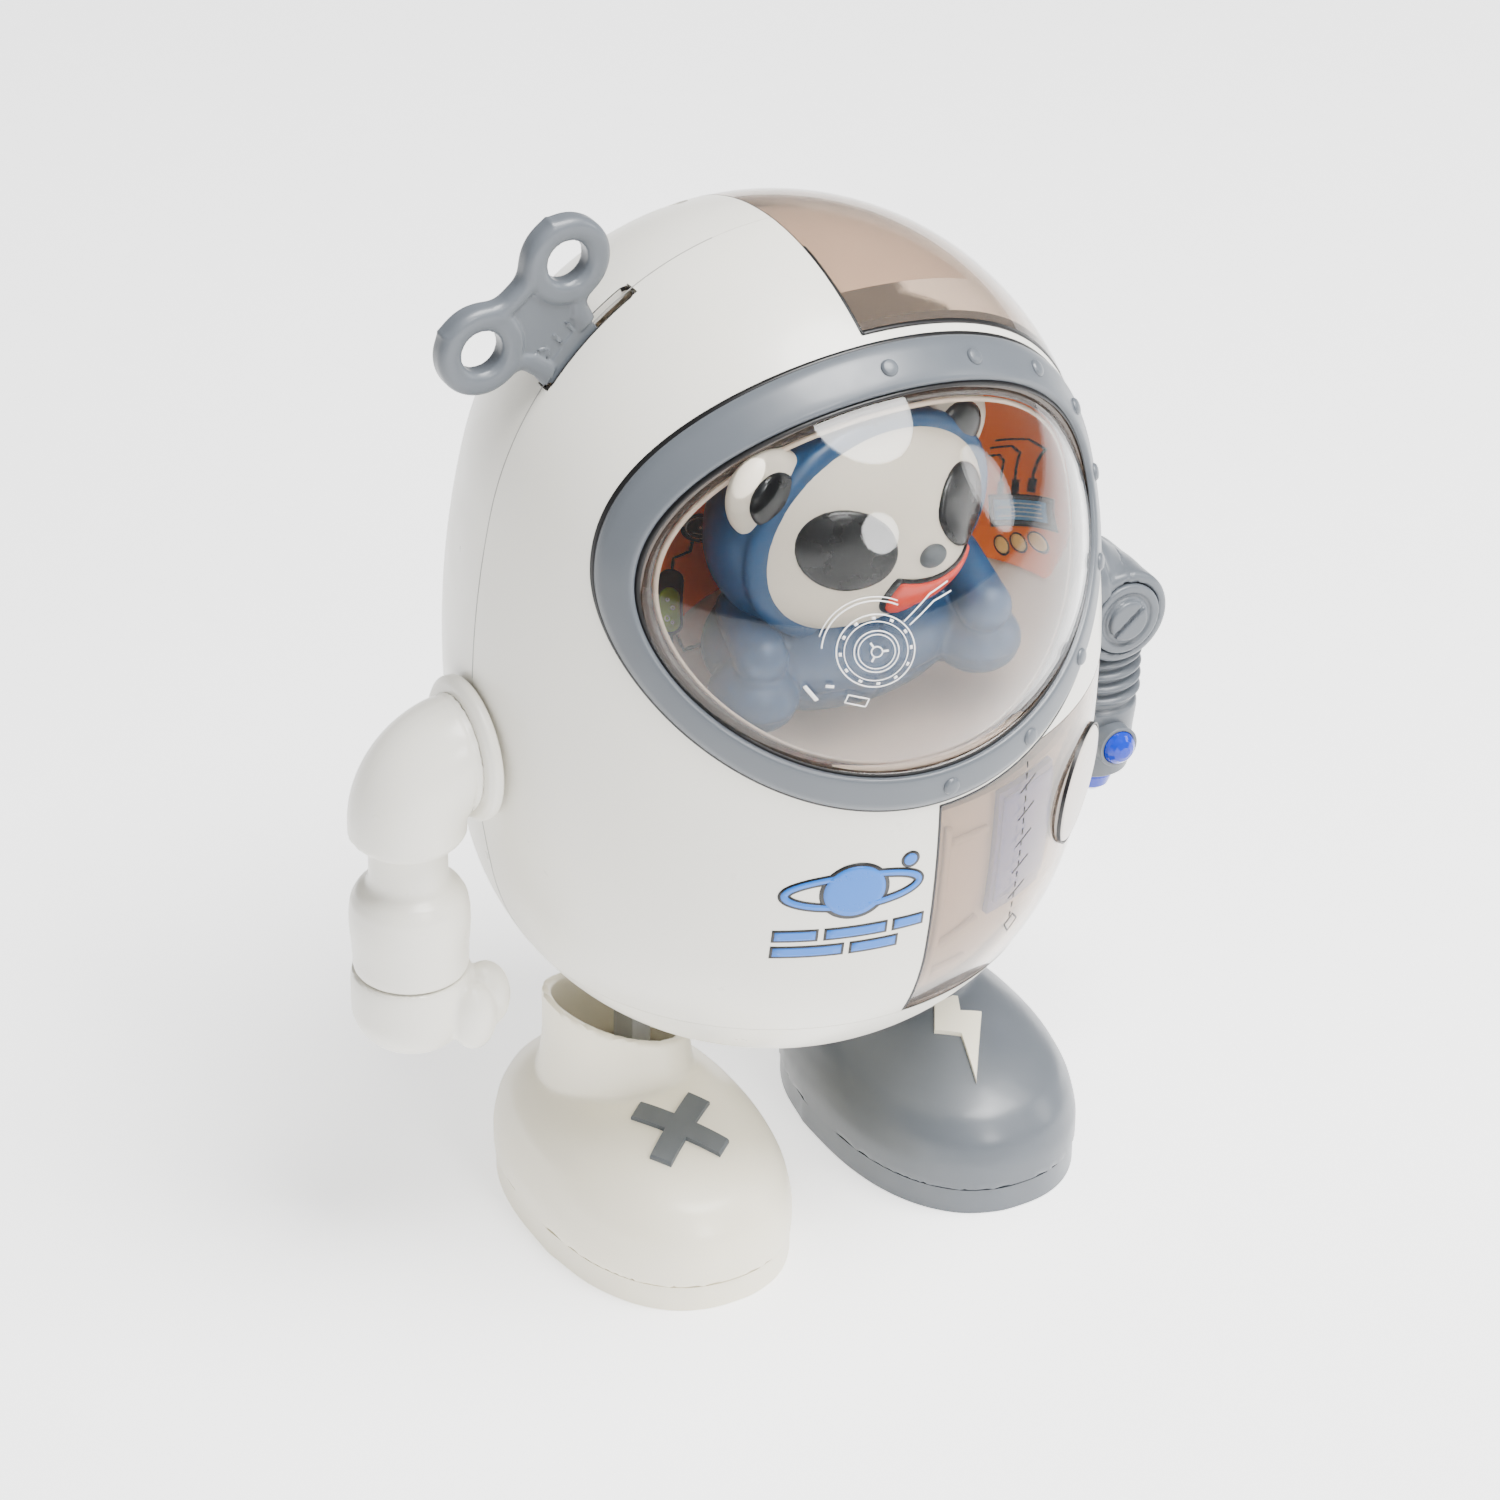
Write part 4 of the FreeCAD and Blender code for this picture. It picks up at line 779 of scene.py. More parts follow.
BELLOWS = [(0, 104.0), (5.0, 104.0), (5.0, 95.1), (7.0, 95.1)]
for rib in range(4):
    z = 94.6 - 2.9 * rib
    BELLOWS += [(8.6, z - 0.3), (9.1, z - 0.9), (8.6, z - 1.6), (7.4, z - 2.1), (7.4, z - 2.6)]
BELLOWS += [(7.5, 82.6), (8.4, 81.8), (8.4, 80.4), (7.9, 76.0), (7.5, 71.0), (7.1, 66.3),
            (4.6, 66.25), (4.6, 70.0), (0, 70.0)]
lathe("left_forearm_bellows", BELLOWS, (LEFT_X, SEAM, 0), (0, 0, 1), grey, "left_forearm",
      ("left_forearm",), soft=0.5)
LENS_AT = (LEFT_X - 1.0, SEAM - 4.0, middle("left_arm_lens")[2])
lathe("left_lens_collar", [(3.55, 2.2), (4.4, 2.2), (4.4, 7.0), (3.55, 7.0)], LENS_AT, (0, -1, 0),
      grey, "left_forearm", soft=0.25)

# ------------------------------------------------------------------ visor ring and dome
AROUND = 240


def ring_angle(i):
    return 2 * math.pi * i / AROUND


def oval_sheet(rings, point):
    """A grid of rings; point(ring, angle) gives each vertex."""
    points = [point(ring, ring_angle(i)) for ring in rings for i in range(AROUND)]
    return points, grid_faces(len(rings), AROUND)


def double_shell(rings, layers, centre, spot):
    """Two nested discs joined at the rim; spot(layer, share, i) places each vertex."""
    points, faces = [], []
    for layer in layers:
        first = len(points)
        points.append(centre(layer))
        for ring in range(1, rings + 1):
            points += [spot(layer, ring / rings, i) for i in range(AROUND)]
        for i in range(AROUND):
            j = (i + 1) % AROUND
            faces.append((first, first + 1 + i, first + 1 + j))
            for ring in range(rings - 1):
                a = first + 1 + ring * AROUND
                b = a + AROUND
                faces.append((a + i, b + i, b + j, a + j))
    outer = 1 + (rings - 1) * AROUND
    inner = outer + 1 + rings * AROUND
    for i in range(AROUND):
        j = (i + 1) % AROUND
        faces.append((outer + i, outer + j, inner + j, inner + i))
    return points, faces


RING_PROFILE = [(0.0, -1.0), (0.0, 0.55), (0.04, 0.95), (0.12, 1.12), (0.3, 1.18), (0.72, 1.18),
                (0.80, 1.10), (0.93, 0.75), (0.99, 0.35), (1.0, 0.0), (1.0, -1.1)]


def ring_point(corner, angle):
    across, lift = corner
    a = WINDOW_A + (VISOR_A - WINDOW_A) * across
    b = WINDOW_B + (VISOR_B - WINDOW_B) * across
    z0 = WINDOW_Z + (VISOR_MID - WINDOW_Z) * across
    return egg_point(a * math.cos(angle), z0 + b * math.sin(angle), lift)


points, faces = oval_sheet(RING_PROFILE, ring_point)
piece("visor_ring", points, faces, grey, "body", ("visor_frame",), angle=60)
for index in range(9):
    angle = math.radians(88 - 176 * index / 8)
    x = (VISOR_A + WINDOW_A) / 2 * math.cos(angle)
    z = 157.6 + (VISOR_B + WINDOW_B) / 2 * math.sin(angle)
    spot = egg_point(x, z, 1.0)
    out = (egg_point(x, z, 2.0) - egg_point(x, z, 1.0)).normalized()
    lathe("visor_rivet_%d" % index, [(0, 0), (1.75, 0), (1.7, 0.4), (1.35, 0.78), (0.7, 0.95),
                                     (0, 1.0)], spot, out, grey, "body",
          soft=0.15, around=28)

dome_a, dome_b = WINDOW_A - 0.3, WINDOW_B - 0.3


def dome_spot(inset, share, i):
    return dome_point(dome_a * share * math.cos(ring_angle(i)),
                      WINDOW_Z + dome_b * share * math.sin(ring_angle(i)), -inset)


points, faces = double_shell(44, (0.0, 1.5), lambda inset: dome_point(0, WINDOW_Z, -inset), dome_spot)
piece("clear_dome", points, faces, LOOK["clear_dome"], "body", ("visor_dome",),
      angle=60)


def flange_point(corner, angle):
    a, b, lift = corner
    return egg_point(a * math.cos(angle), WINDOW_Z + b * math.sin(angle), lift)


def edge_band(name, half_wide, half_tall, height, wide, lift, look):
    """A thin band that follows an oval on the egg."""
    corners = [(wide / 2, lift), (wide / 2, lift + 0.05), (-wide / 2, lift + 0.05),
               (-wide / 2, lift)]
    points, faces = oval_sheet(corners, lambda c, a: egg_point(
        (half_wide + c[0]) * math.cos(a), height + (half_tall + c[0]) * math.sin(a), c[1]))
    piece(name, points, faces, look, "body")


edge_band("visor_ring_shadow", VISOR_A + 0.15, VISOR_B + 0.15, VISOR_MID, 0.6, 0.01, INK)
# a black band in the gap between the visor ring and the dome: painted shade of the gap
edge_band("visor_gap_line", WINDOW_A - 0.35, WINDOW_B - 0.35, WINDOW_Z, 0.7, -0.05, INK)
edge_band("cockpit_pale_lip", 46.9, 32.5, WINDOW_Z - 0.1, 0.8, -3.7, BOWL_LOOK)
FLANGE_TINT = clear("dome_flange", (112, 98, 88), 0.1, 0.55)
points, faces = oval_sheet([(48.45, 34.05, -0.3), (48.3, 33.9, -0.15), (47.8, 33.4, -0.5),
                            (47.2, 32.8, -3.2), (47.6, 33.2, -3.4), (48.4, 34.0, -1.6)],
                           flange_point)
piece("dome_flange", points, faces, FLANGE_TINT, "body", angle=50)

# ------------------------------------------------------------------ cockpit bowl
def bowl_edge(phi):
    """The polar angle at which the bowl meets the shell's inside."""
    low, high = math.radians(60), math.radians(150)
    for _ in range(30):
        half = (low + high) / 2
        x, y, z = bowl_spot(phi, half, 0.0)
        if math.hypot(x, y) > egg_radius(z, 2.0) and y < 0:
            high = half
        else:
            low = half
    return low


def bowl_spot(phi, theta, inset):
    return (
        (BOWL_A - inset) * math.sin(theta) * math.cos(phi),
        BOWL_Y + (BOWL_D - inset) * math.cos(theta),
        BOWL_Z + (BOWL_C - inset) * math.sin(theta) * math.sin(phi))


edges = [bowl_edge(ring_angle(i)) for i in range(AROUND)]
points, faces = double_shell(
    40, (0.0, -1.3), lambda inset: bowl_spot(0, 0, inset),
    lambda inset, share, i: bowl_spot(ring_angle(i), edges[i] * share, inset))
piece("cockpit_shell", points, faces, BOWL_LOOK, "body", ("cockpit_bowl",),
      angle=60)


def tube_points(path, radius, count=12):
    """A closed ring of pipe along a closed path."""
    points, total = [], len(path)
    for index, here in enumerate(path):
        along = (path[(index + 1) % total] - path[index - 1]).normalized()
        side = along.cross(Vector((0, 1, 0))).normalized()
        up = along.cross(side)
        for k in range(count):
            a = 2 * math.pi * k / count
            points.append(here + side * radius * math.cos(a) + up * radius * math.sin(a))
    return points, grid_faces(total, count)


lip_path = [Vector(bowl_spot(ring_angle(i), edges[i], 0.3)) for i in range(AROUND)]
points, faces = tube_points(lip_path, 0.85)
piece("cockpit_lip", points, faces, BOWL_LOOK, "body")

# ------------------------------------------------------------------ pilot
HEAD = np.array((-3.0, -32.5, 164.0))
pilot_white, pilot_black = LOOK["pilot_white"], LOOK["pilot_black"]
YAW = math.radians(10)
FACE = np.array(((math.cos(YAW), math.sin(YAW), 0), (-math.sin(YAW), math.cos(YAW), 0),
                 (0, 0, 1))).T


def on_head(p):
    """Points in the head's own frame, which looks a little to the pilot's left."""
    return (p - HEAD) @ FACE


def skull_ball(q):
    return f_ball(q, (0, 0, 0), (28.5, 19.5, 21.5))


def skull_field(q):
    snout = f_ball(q, (3.0, -15.5, -4.0), (11.0, 6.0, 7.6))
    return blend_in(skull_ball(q), snout, 3.0)


def head_field(p):
    q = on_head(p)
    whole = skull_field(q)
    for side in (-1, 1):
        ear = f_ball(q, (side * 21.5, -3.0, 12.5), (8.8, 4.6, 8.8))
        whole = blend_in(whole, ear, 1.0)
    return whole


def hood_field(p):
    """The suit's hood: it follows the back of the head and ends in a rolled rim."""
    q = on_head(p)
    skull = skull_ball(q)
    behind = -7.0 - q[..., 1]
    shell = np.maximum(skull - 1.1, behind)
    rim = np.hypot(np.maximum(np.abs(skull - 0.2) - 0.2, 0), behind) - 1.5
    seam = np.maximum(np.abs(q[..., 0]) - 0.3, 0.9 - skull)
    return carve(blend_in(shell, rim, 0.8), seam, 0.3)


skin("bear_head", head_field, (-36, -60, 142), (30, -12, 190.5), 0.8, pilot_white, "body",
     ("pilot_head", "pilot_ears"))
skin("bear_hood", hood_field, (-36, -60, 142), (30, -10, 190.5), 0.9, LOOK["suit_blue"], "body")


def ear_pad_field(p):
    q = on_head(p)
    pads = [f_ball(q, (side * 22.0 - 0.6, -6.4, 13.0), (5.4, 2.0, 5.4)) for side in (-1, 1)]
    return np.minimum(*pads)


skin("bear_ear_pads", ear_pad_field, (-36, -52, 166), (30, -26, 190), 0.6, pilot_black, "body")


def on_face(lift, depth, shape, soft=0.4):
    """A thin inlay of the given shape lying on the face."""
    def field(p):
        q = on_head(p)
        face = skull_field(q)
        shell = np.maximum(face - lift, -face - depth)
        return -blend_in(-shell, -shape(q), soft)
    return field


def slanted_ball(q, slant, centre, radii):
    turn = np.array(((0.94, 0, slant), (0, 1, 0), (-slant, 0, 0.94)))
    return f_ball(q @ turn, centre, radii)


def eye_shape(q):
    left = slanted_ball(q, 0.34, (-12.5, -14.0, -1.5), (10.2, 10.0, 7.8))
    right = slanted_ball(q, -0.34, (14.0, -15.0, -1.5), (8.4, 9.0, 7.2))
    return np.minimum(left, right)


def mouth_shape(q):
    bowl = f_ball(q, (5.0, -18.0, -8.0), (10.6, 9.0, 8.4))
    return np.maximum(bowl, q[..., 2] + 6.2 - 0.02 * (q[..., 0] - 5.0) ** 2)


skin("bear_eyes", on_face(0.75, 0.6, eye_shape), (-34, -62, 150), (26, -34, 180), 0.6,
     pilot_black, "body", ("pilot_eyes",))
skin("bear_lips", on_face(0.5, 0.6, lambda q: mouth_shape(q) - 0.8), (-13, -62, 144),
     (24, -36, 166), 0.5, pilot_black, "body")
skin("bear_mouth", on_face(0.95, 0.3, mouth_shape), (-13, -62, 144), (24, -36, 166), 0.5,
     LOOK["pilot_coral"], "body", ("pilot_mouth",))
skin("bear_nose", lambda p: f_ball(on_head(p), (3.0, -21.2, -1.2), (3.0, 1.8, 2.2)),
     (-6, -60, 158), (12, -46, 170), 0.4, LOOK["badge_grey"], "body",
     ("pilot_nose",))


def suit_field(p):
    whole = f_ball(p, (-4, -31, 139), (27.0, 17.0, 14.5))
    for hand, shoulder in (((-27, -44, 145), (-25, -33, 149)), ((19, -47, 145), (20, -34, 149))):
        whole = blend_in(whole, f_capsule(p, hand, shoulder, 5.0), 1.6)
    for foot in ((-27.5, -42, 136.5), (20.0, -42.5, 136.0)):
        whole = blend_in(whole, f_ball(p, foot, (8.4, 9.0, 6.6)), 1.6)
    zip_line = np.maximum(np.abs(p[..., 0] + 3) - 0.3, -whole - 0.6)
    belt = np.maximum(np.abs(p[..., 2] - 134.5) - 0.35, -whole - 0.5)
    return carve(carve(whole, zip_line, 0.3), belt, 0.3)


skin("bear_suit", suit_field, (-38, -55, 122.5), (31, -12, 157), 0.8, LOOK["suit_blue"], "body",
     ("pilot_suit",))

# ------------------------------------------------------------------ key
PIVOT = middle("key_pivot_pin")
KEY_BASE = np.array((-41.5, SEAM, 190.1))
KEY_UP, KEY_ACROSS = np.array((-0.6247, 0, 0.7809)), np.array((0.7809, 0, 0.6247))
THROAT = 33.3


def key_field(p):
    """A butterfly key: two eyes, a beaded rim and a thin web that carries raised marks."""
    q = p - KEY_BASE
    u, v, y = q @ KEY_UP, np.abs(q @ KEY_ACROSS), q[..., 1]
    eye = np.hypot(u - 17.1, v - 11.4)
    sides = np.array(((-6, 8.3), (0, 8.1), (4, 7.9), (7.5, 8.8), (10.5, 11.0), (13, 15), (15, 19)))
    flank = v - np.interp(u, sides[:, 0], sides[:, 1])
    crown = u - (21.4 + 0.02 * v ** 2)
    neck = np.maximum(np.maximum(flank * 0.85, crown), v - 14)
    flat = blend_in(neck, eye - 8.7, 2.4)
    bead = np.hypot(np.maximum(np.abs(flat + 1.9) - 0.3, 0), np.maximum(np.abs(y) - 0.7, 0)) - 1.55
    ring = np.hypot(np.maximum(np.abs(eye - 6.45) - 0.7, 0), np.maximum(np.abs(y) - 0.9, 0)) - 1.5
    web = np.maximum(flat + 1.0, np.abs(y) - 1.3)
    whole = blend_in(np.minimum(bead, web), ring, 0.7)
    lip = np.maximum(np.abs(eye - 4.9) - 0.5, np.abs(y) - 1.5)
    whole = np.minimum(whole, np.maximum(lip, u - 17.1))
    w = q @ KEY_ACROSS
    letter_o = np.abs(np.hypot(u - 6.4, w + 4.0) - 1.25) - 0.22
    bars = np.minimum(np.abs(w) - 0.28, np.abs(np.abs(w - 4.0) - 0.75) - 0.28)
    bars = np.maximum(bars, np.abs(u - 6.4) - 1.6)
    marks = np.maximum(np.minimum(letter_o, bars), np.abs(y) - 1.75)
    whole = np.minimum(whole, marks)
    r = np.hypot(p[..., 0] - PIVOT[0], p[..., 2] - PIVOT[2])
    whole = np.maximum(whole, THROAT - r)
    turn = np.abs(np.arctan2(p[..., 2] - PIVOT[2], p[..., 0] - PIVOT[0]) - math.radians(139))
    sector = np.maximum((turn - math.radians(12.2)) * r, np.maximum(r - 34.6, np.abs(y) - 1.5))
    hub = np.maximum(r - 5.0, np.abs(y) - 1.6)
    whole = np.minimum(whole, np.minimum(sector, hub))
    return np.maximum(np.maximum(whole, 2.3 - r), 4.2 - eye)


skin("switch_key", key_field, (-70, SEAM - 3.2, 165), (-12, SEAM + 3.2, 221), 0.45, grey, "key",
     ("key_lever",), angle=48)

# ------------------------------------------------------------------ the key slot's edge, painted black as the slot's shade
def slot_point(angle, y, lift):
    """A point on the egg's skin over the key's pivot, by the angle round the pivot."""
    direction = np.array((math.cos(angle), math.sin(angle)))
    reach = 36.0
    for _ in range(12):
        x, z = PIVOT[0] + direction[0] * reach, PIVOT[2] + direction[1] * reach
        centre, height, radius = egg_arc(z)
        reach += radius - math.hypot(math.hypot(x, y) - centre, z - height)
    return (PIVOT[0] + direction[0] * (reach + lift), y, PIVOT[2] + direction[1] * (reach + lift))


SLOT_LOW, SLOT_HIGH, SLOT_TURN = math.radians(109.4), math.radians(153.6), 0.05
track = []
for start, end, way in ((SLOT_LOW + SLOT_TURN, SLOT_HIGH - SLOT_TURN, 1),
                        (SLOT_HIGH - SLOT_TURN, SLOT_LOW + SLOT_TURN, -1)):
    track += [(start + (end - start) * i / 24, -way) for i in range(25)]
    track += [(end + way * SLOT_TURN * math.sin(math.pi * i / 8), -way * math.cos(math.pi * i / 8))
              for i in range(1, 8)]
points = []
for wide, lift in ((2.02, -0.8), (2.02, 0.04), (2.3, 0.04), (2.3, -0.8)):
    points += [slot_point(a, SEAM + side * wide, lift) for a, side in track]
faces = grid_faces(4, len(track))
# a black band lining the slot's walls and rim: painted shade of the slot
piece("key_slot_edge", points, faces, LOOK["black_plastic"], "body", angle=40)

# ------------------------------------------------------------------ chest disc and panel edges
disc_out = np.array((43.0, -47.0, -7.2)) / np.linalg.norm((43.0, -47.0, -7.2))
disc_at = np.array((43.0, -47.0, 98.0))
lathe("chest_button", [(0, -3.0), (11.85, -3.0), (11.85, -1.0), (11.3, -0.5), (8.0, 0.0),
                       (4.0, 0.3), (0, 0.4)], disc_at, disc_out,
      plastic("button_beige", (206, 196, 187), 0.3, 0.02, 0.03, coat=0.2), "body",
      ("chest_disc",), soft=0.3)
lathe("chest_button_line", [(11.88, -1.5), (12.25, -1.5), (12.25, -0.75), (11.88, -0.75)],
      disc_at, disc_out, INK, "body", soft=0.05)


def oval_path(a, b, start, end, count=60):
    return [(a * math.cos(math.radians(start + (end - start) * i / count)),
             VISOR_MID + b * math.sin(math.radians(start + (end - start) * i / count)))
            for i in range(count + 1)]


def side_path(low, high, y, count=20):
    """The egg's meridian where it meets the plane Y = y."""
    heights = [low + (high - low) * i / count for i in range(count + 1)]
    return [(math.sqrt(egg_radius(z) ** 2 - y * y), z) for z in heights]


upper_edge = [(0.3, 208.0 - 0.4 * i) for i in range(20)] + [(0.3, 200.0)] \
    + oval_path(54.4, 42.4, 89.7, 24)
lower_edge = [(0.3, 115.6), (0.3, 62.5)] + [(2 + 2 * i, 62.5) for i in range(22)] \
    + side_path(62.5, 119.5, -14.5)[1:] + oval_path(54.0, 41.9, -66, -90)
lay("panel_edge_lines", [art_line(upper_edge, 0.55), art_line(lower_edge[:24], 0.5),
                         art_line(oval_path(54.0, 41.9, -89.7, -24), 0.45)], egg_point, 0.01, INK,
    thick=0.05)

# ------------------------------------------------------------------ prints
def left_art(a, b, lift=0.0):
    """The backdrop's left drawing, on its own slanting axes."""
    return backdrop_point(-25.7 + 1.39 * a + 0.39 * b, 144.7 - 0.71 * a + 0.61 * b, lift)


def right_art(a, b, lift=0.0):
    return backdrop_point(38.6 + 0.63 * a + 0.12 * b, 157.9 + 0.24 * a + 0.95 * b, lift)


def pill(x, low, high, r):
    return poly(circle(x, high - r, r, count=20, sweep=180)
                + circle(x, low + r, r, count=20, start=180, sweep=180), 0.5)


def frame_box(x, z, wide, tall, step=0.6):
    return poly([(x, z), (x + wide, z), (x + wide, z + tall), (x, z + tall)], step)


def back_print(name, shapes, where, lift, look):
    lay(name, shapes, where, lift, look)


back_print("gauge_print", [art_fill(circle(2.8, 11.0, 3.6))], left_art, 0.05, INK)
back_print("gauge_dial", [art_line(circle(2.8, 11.0, 2.7), 0.22, True),
                          art_line([(2.8, 11.0), (3.9, 12.8)], 0.3),
                          art_line([(1.5, 9.4), (4.1, 9.4)], 0.25),
                          art_fill(circle(2.8, 11.0, 0.4, count=16), 2)], left_art, 0.14, PALE_LINE)
ROWS = range(4)
capsule_leads = [art_line(path, 0.55) for path in (
    [(-2.0, -12.4), (-2.6, -15.0), (-5.0, -18.0)],
    [(0.2, -12.4), (1.0, -15.0), (5.5, -13.4), (9.0, -13.6)],
    [(-1.0, -12.4), (-1.2, -16.5), (-2.4, -19.0)])]
back_print("capsule_print", [art_fill(pill(-1.0, -12.6, 0.6, 2.6)),
                             art_line([(2.0, 7.4), (2.0, 5.0), (-0.8, 3.0), (-0.8, 0.4)], 0.5)]
           + capsule_leads
           + [art_fill(pill(-5.2, -4.3 - 2.7 * k, -3.1 - 2.7 * k, 0.6)) for k in ROWS],
           left_art, 0.05, INK)
for name, start, end, wide, lift, look in (
        ("tick_prints", -6.2, -4.2, 1.3, 0.09, INK),
        ("tick_fills", -5.9, -4.5, 0.7, 0.2, LOOK["badge_grey"])):
    back_print(name, [art_line([(start, -3.7 - 2.7 * k), (end, -3.7 - 2.7 * k)], wide)
                      for k in ROWS], left_art, lift, look)
back_print("capsule_fill", [art_fill(pill(-1.0, -12.0, -3.4, 2.0))], left_art, 0.14, LIME)
back_print("capsule_bubbles", [art_line(circle(x, z, r, count=14), 0.2, True) for x, z, r in (
    (-1.6, -9.6, 0.5), (-0.4, -7.6, 0.35), (-1.4, -6.0, 0.3), (-0.6, -10.4, 0.25))],
    left_art, 0.24, PALE_LINE)
back_print("right_wires_print", [art_line(path, 0.5) for path in (
    [(0, -1.4), (2.4, -1.2), (3.6, -2.6), (3.8, -8)],
    [(0, 0.6), (4, 1.2), (6, -0.4), (6.6, -7.6)],
    [(0.4, 2.6), (6, 3.6), (9.2, 1.6), (9.6, -7)])]
    + [art_fill(frame_box(x - 0.7, z - 3.0, 1.4, 3.0), 3)
       for x, z in ((3.8, -7.4), (6.7, -7.0), (9.6, -6.4))]
    + [art_fill(frame_box(1.2, -16.0, 12.0, 6.0))], right_art, 0.05, INK)
back_print("display_frame", [art_line(frame_box(1.8, -15.4, 10.8, 4.8), 0.6, True)], right_art,
           0.13, LOOK["badge_grey"])
back_print("display_glass", [art_fill(frame_box(2.3, -14.9, 9.8, 3.8))], right_art, 0.13, SCREEN)
back_print("display_lines", [art_line([(3.4 + 2.6 * (k % 2), -14.2 + 0.8 * k),
                                       (11.4, -14.2 + 0.8 * k)], 0.22) for k in ROWS],
           right_art, 0.22, PALE_LINE)
for name, radius, lift, look in (("lamp_rims", 1.6, 0.05, INK), ("lamp_prints", 1.3, 0.13, LAMP)):
    back_print(name, [art_fill(circle(2.6 + 3.5 * k, -19.0 + 0.4 * k, radius, count=24), 3)
                      for k in range(3)], right_art, lift, look)

# thin printed rings on the dome: a plain instrument pattern
gx, gz = -14.5, 153.5


def dial(r_out, r_in, count, wide):
    return [art_line([(gx + r_in * math.cos(a), gz + r_in * math.sin(a)),
                      (gx + r_out * math.cos(a), gz + r_out * math.sin(a))], wide, step=0.3)
            for a in [2 * math.pi * k / count for k in range(count)]]


rings = [art_line(circle(gx, gz, r, count=72), w, True)
         for r, w in ((7.0, 0.26), (5.7, 0.2), (4.0, 0.24), (3.3, 0.2))]
rings += dial(6.6, 6.1, 12, 0.7) + dial(2.1, 0.9, 3, 0.4)
rings += [art_line(circle(gx, gz, 1.0, count=24), 0.25, True),
          art_line(circle(gx, gz, 9.4, count=40, start=60, sweep=115), 0.26),
          art_line(circle(gx, gz, 10.1, count=40, start=62, sweep=100), 0.2),
          art_line([(gx - 12.4, gz - 6.2), (gx - 10.4, gz - 9.2)], 0.7),
          art_line([(gx - 9.0, gz - 6.2), (gx - 7.6, gz - 6.4)], 0.6),
          art_line(poly([(gx - 5.2, gz - 8.2), (gx - 1.6, gz - 9.4), (gx - 2.2, gz - 11.0),
                         (gx - 5.8, gz - 9.8)]), 0.3, True),
          art_line([(gx + 5.4, gz + 5.0), (gx + 11.0, gz + 9.0), (gx + 15.0, gz + 10.4)], 0.26),
          art_line([(gx + 6.4, gz + 4.2), (gx + 11.6, gz + 7.6), (gx + 15.4, gz + 8.6)], 0.26)]
lay("dome_print", rings, dome_point, 0.01, PALE_LINE, thick=0.05)

# chest graphic: a ringed planet over two rows of bars
cx, cz = -16.0, 100.0
BARS = ((-30, -22, 88.6), (-21, -9, 88.6), (-8, -1.5, 88.6), (-30, -17, 84.6), (-16, -6.5, 84.6))
for name, disc, band, moon, inset, lift, look, thick in (
        ("chest_print_outline", 6.6, 2.2, 1.9, 0.0, 0.01, INK, 0.05),
        ("chest_print", 5.8, 1.2, 1.3, 0.5, 0.06, SKY, 0.06)):
    planet = [art_fill(circle(cx, cz, disc)),
              art_line(circle(cx, cz, 12.6, 3.6, count=80), band, True),
              art_fill(circle(cx + 10.5, cz + 5.2, moon, count=24), 3)]
    bars = [art_fill(frame_box(x0 + inset, z0 + inset, x1 - x0 - 2 * inset, 3.0 - 2 * inset, 1.0), 3)
            for x0, x1, z0 in BARS]
    lay(name, planet + bars, egg_point, lift, look, thick=thick)

# moulded ribs on the housings behind the clear panels, and the blue lamp's face
def rib(name, corners, lift, deep, look, slot):
    """A raised strip on a housing, under the clear panel."""
    lay(name, [art_line(corners, 1.4, step=1.0)], egg_point, -lift - deep, look,
        thick=deep)


HOUSING = LOOK["beige_plastic"]
for index, (z0, z1) in enumerate(((70.0, 70.0), (78.0, 82.0), (104.0, 104.0))):
    rib("lower_housing_rib_%d" % index, [(5.0, z0), (14.0, z1)], 2.6, 0.9, HOUSING,
        "beige_plastic")
rib("lower_housing_edge", [(4.0, 66.5), (4.0, 108.0)], 2.6, 0.9, HOUSING, "beige_plastic")
lay("blue_lamp_face", [art_fill(frame_box(16.5, 85.5, 14.5, 25.0, 1.2), 8)], egg_point, -1.85, plastic(
    "lamp_face_blue", (0, 60, 205), 0.3, 0.05, 0.02), thick=0.2)

# engraved-looking marks on the lower panel
marks = [art_line([(21.5, 117.0 - 2.6 * k), (21.6, 115.6 - 2.6 * k)], 0.35) for k in range(15)]
marks += [art_line([(20.0, 110.5 - 6.4 * k), (24.2, 113.0 - 6.4 * k)], 0.35) for k in range(5)]
marks += [art_line([(20.6, 77.6), (22.6, 79.4), (24.4, 77.0), (22.4, 74.6)], 0.35, True)]
lay("panel_marks", marks, egg_point, 0.01, INK, thick=0.05)

# the moulded seam between the shell halves, as a fine shaded line
SEAM_ROWS = 81
for side, top_z in ((-1, 207.5), (1, 166.0)):
    for low_z, high_z in ((62.5, SHOULDER - FLANGE_R - 0.6), (SHOULDER + FLANGE_R + 0.6, top_z)):
        points = []
        for row in range(SEAM_ROWS):
            z = low_z + (high_z - low_z) * math.sin(math.pi / 2 * row / (SEAM_ROWS - 1))
            for y, lift in ((SEAM - 0.14, 0.03), (SEAM + 0.14, 0.03), (SEAM + 0.14, -0.1),
                            (SEAM - 0.14, -0.1)):
                r = egg_radius(z) + lift
                points.append((side * math.sqrt(r * r - y * y), y, z))
        faces = grid_faces(SEAM_ROWS, 4, closed=False)
        faces += [tuple(range(4)), tuple(range(len(points) - 4, len(points)))]
        piece("shell_seam_%s_%d" % ("right" if side < 0 else "left", low_z), points, faces,
              SEAM_GREY, "body", smooth=False)

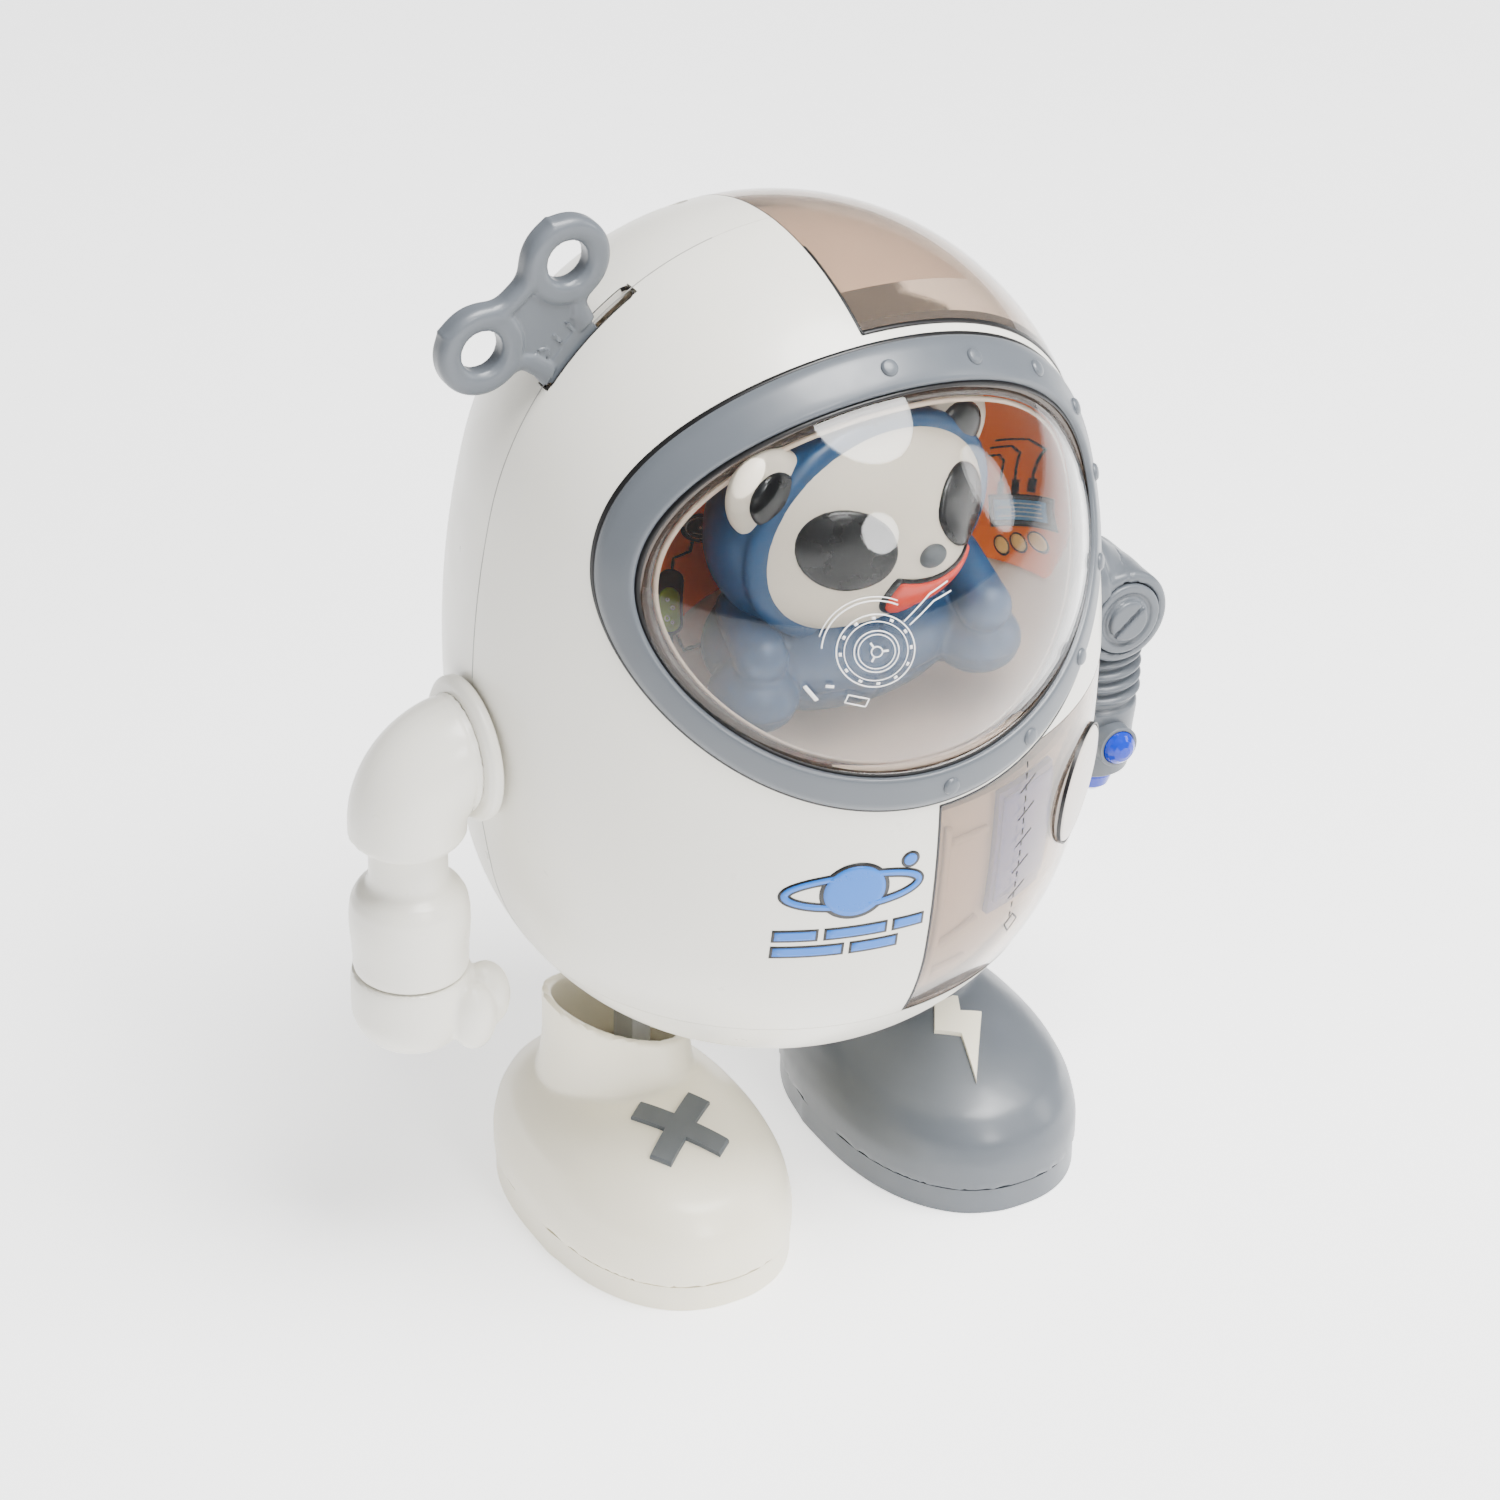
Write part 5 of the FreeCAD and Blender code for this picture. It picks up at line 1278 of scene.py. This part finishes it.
# ------------------------------------------------------------------ floor, light and camera
FLOOR_GLOW = 1.3
floor_look = plastic("floor", (244, 244, 244), 0.75, 0.004, 0.02)
floor_shader = floor_look.node_tree.nodes["Principled BSDF"]
floor_shader.inputs["Emission Color"].default_value = (1.0, 1.0, 1.0, 1.0)
floor_shader.inputs["Emission Strength"].default_value = FLOOR_GLOW
bpy.ops.mesh.primitive_plane_add(size=8.0, location=(0, 0, -0.0001))
floor = bpy.context.object
floor.name = "floor"
floor.data.materials.append(floor_look)

world = bpy.data.worlds.new("studio")
world.use_nodes = True
world.node_tree.nodes["Background"].inputs["Color"].default_value = (1.0, 1.0, 1.0, 1.0)
world.node_tree.nodes["Background"].inputs["Strength"].default_value = 0.4
bpy.context.scene.world = world


def softbox(name, spot, target, wide, tall, power):
    lamp = bpy.data.lights.new(name, "AREA")
    lamp.shape, lamp.size, lamp.size_y, lamp.energy = "ELLIPSE", wide, tall, power
    obj = bpy.data.objects.new(name, lamp)
    obj.location = spot
    obj.rotation_euler = (Vector(target) - Vector(spot)).to_track_quat("-Z", "Y").to_euler()
    bpy.context.scene.collection.objects.link(obj)


AIM = (0, 0, 0.12)
softbox("top_box", (0.28, -0.35, 1.25), AIM, 0.8, 0.8, 47.0)
softbox("near_box", (0.10, -1.35, 0.95), AIM, 0.4, 0.4, 10.0)
softbox("right_box", (1.2, -0.6, 0.6), AIM, 0.4, 0.7, 5.0)

camera_data = bpy.data.cameras.new("camera")
camera = bpy.data.objects.new("camera", camera_data)
bpy.context.scene.collection.objects.link(camera)
azimuth, elevation, roll, distance = math.radians(-29.608), math.radians(30.862), 0.011, 1.06857
back = Vector((math.sin(azimuth) * math.cos(elevation), -math.cos(azimuth) * math.cos(elevation),
               math.sin(elevation)))
right = Vector((math.cos(azimuth), math.sin(azimuth), 0))
up = back.cross(right)
right_rolled = right * math.cos(roll) + up * math.sin(roll)
up_rolled = up * math.cos(roll) - right * math.sin(roll)
camera.matrix_world = Matrix.Translation(Vector((0, 0, 0.1192)) + back * distance) @ Matrix(
    (right_rolled, up_rolled, back)).transposed().to_4x4()
camera_data.sensor_width = 36.0
camera_data.lens = 131.868
camera_data.shift_x = -0.01428
camera_data.shift_y = -0.07696
camera_data.clip_start = 0.05
bpy.context.scene.camera = camera
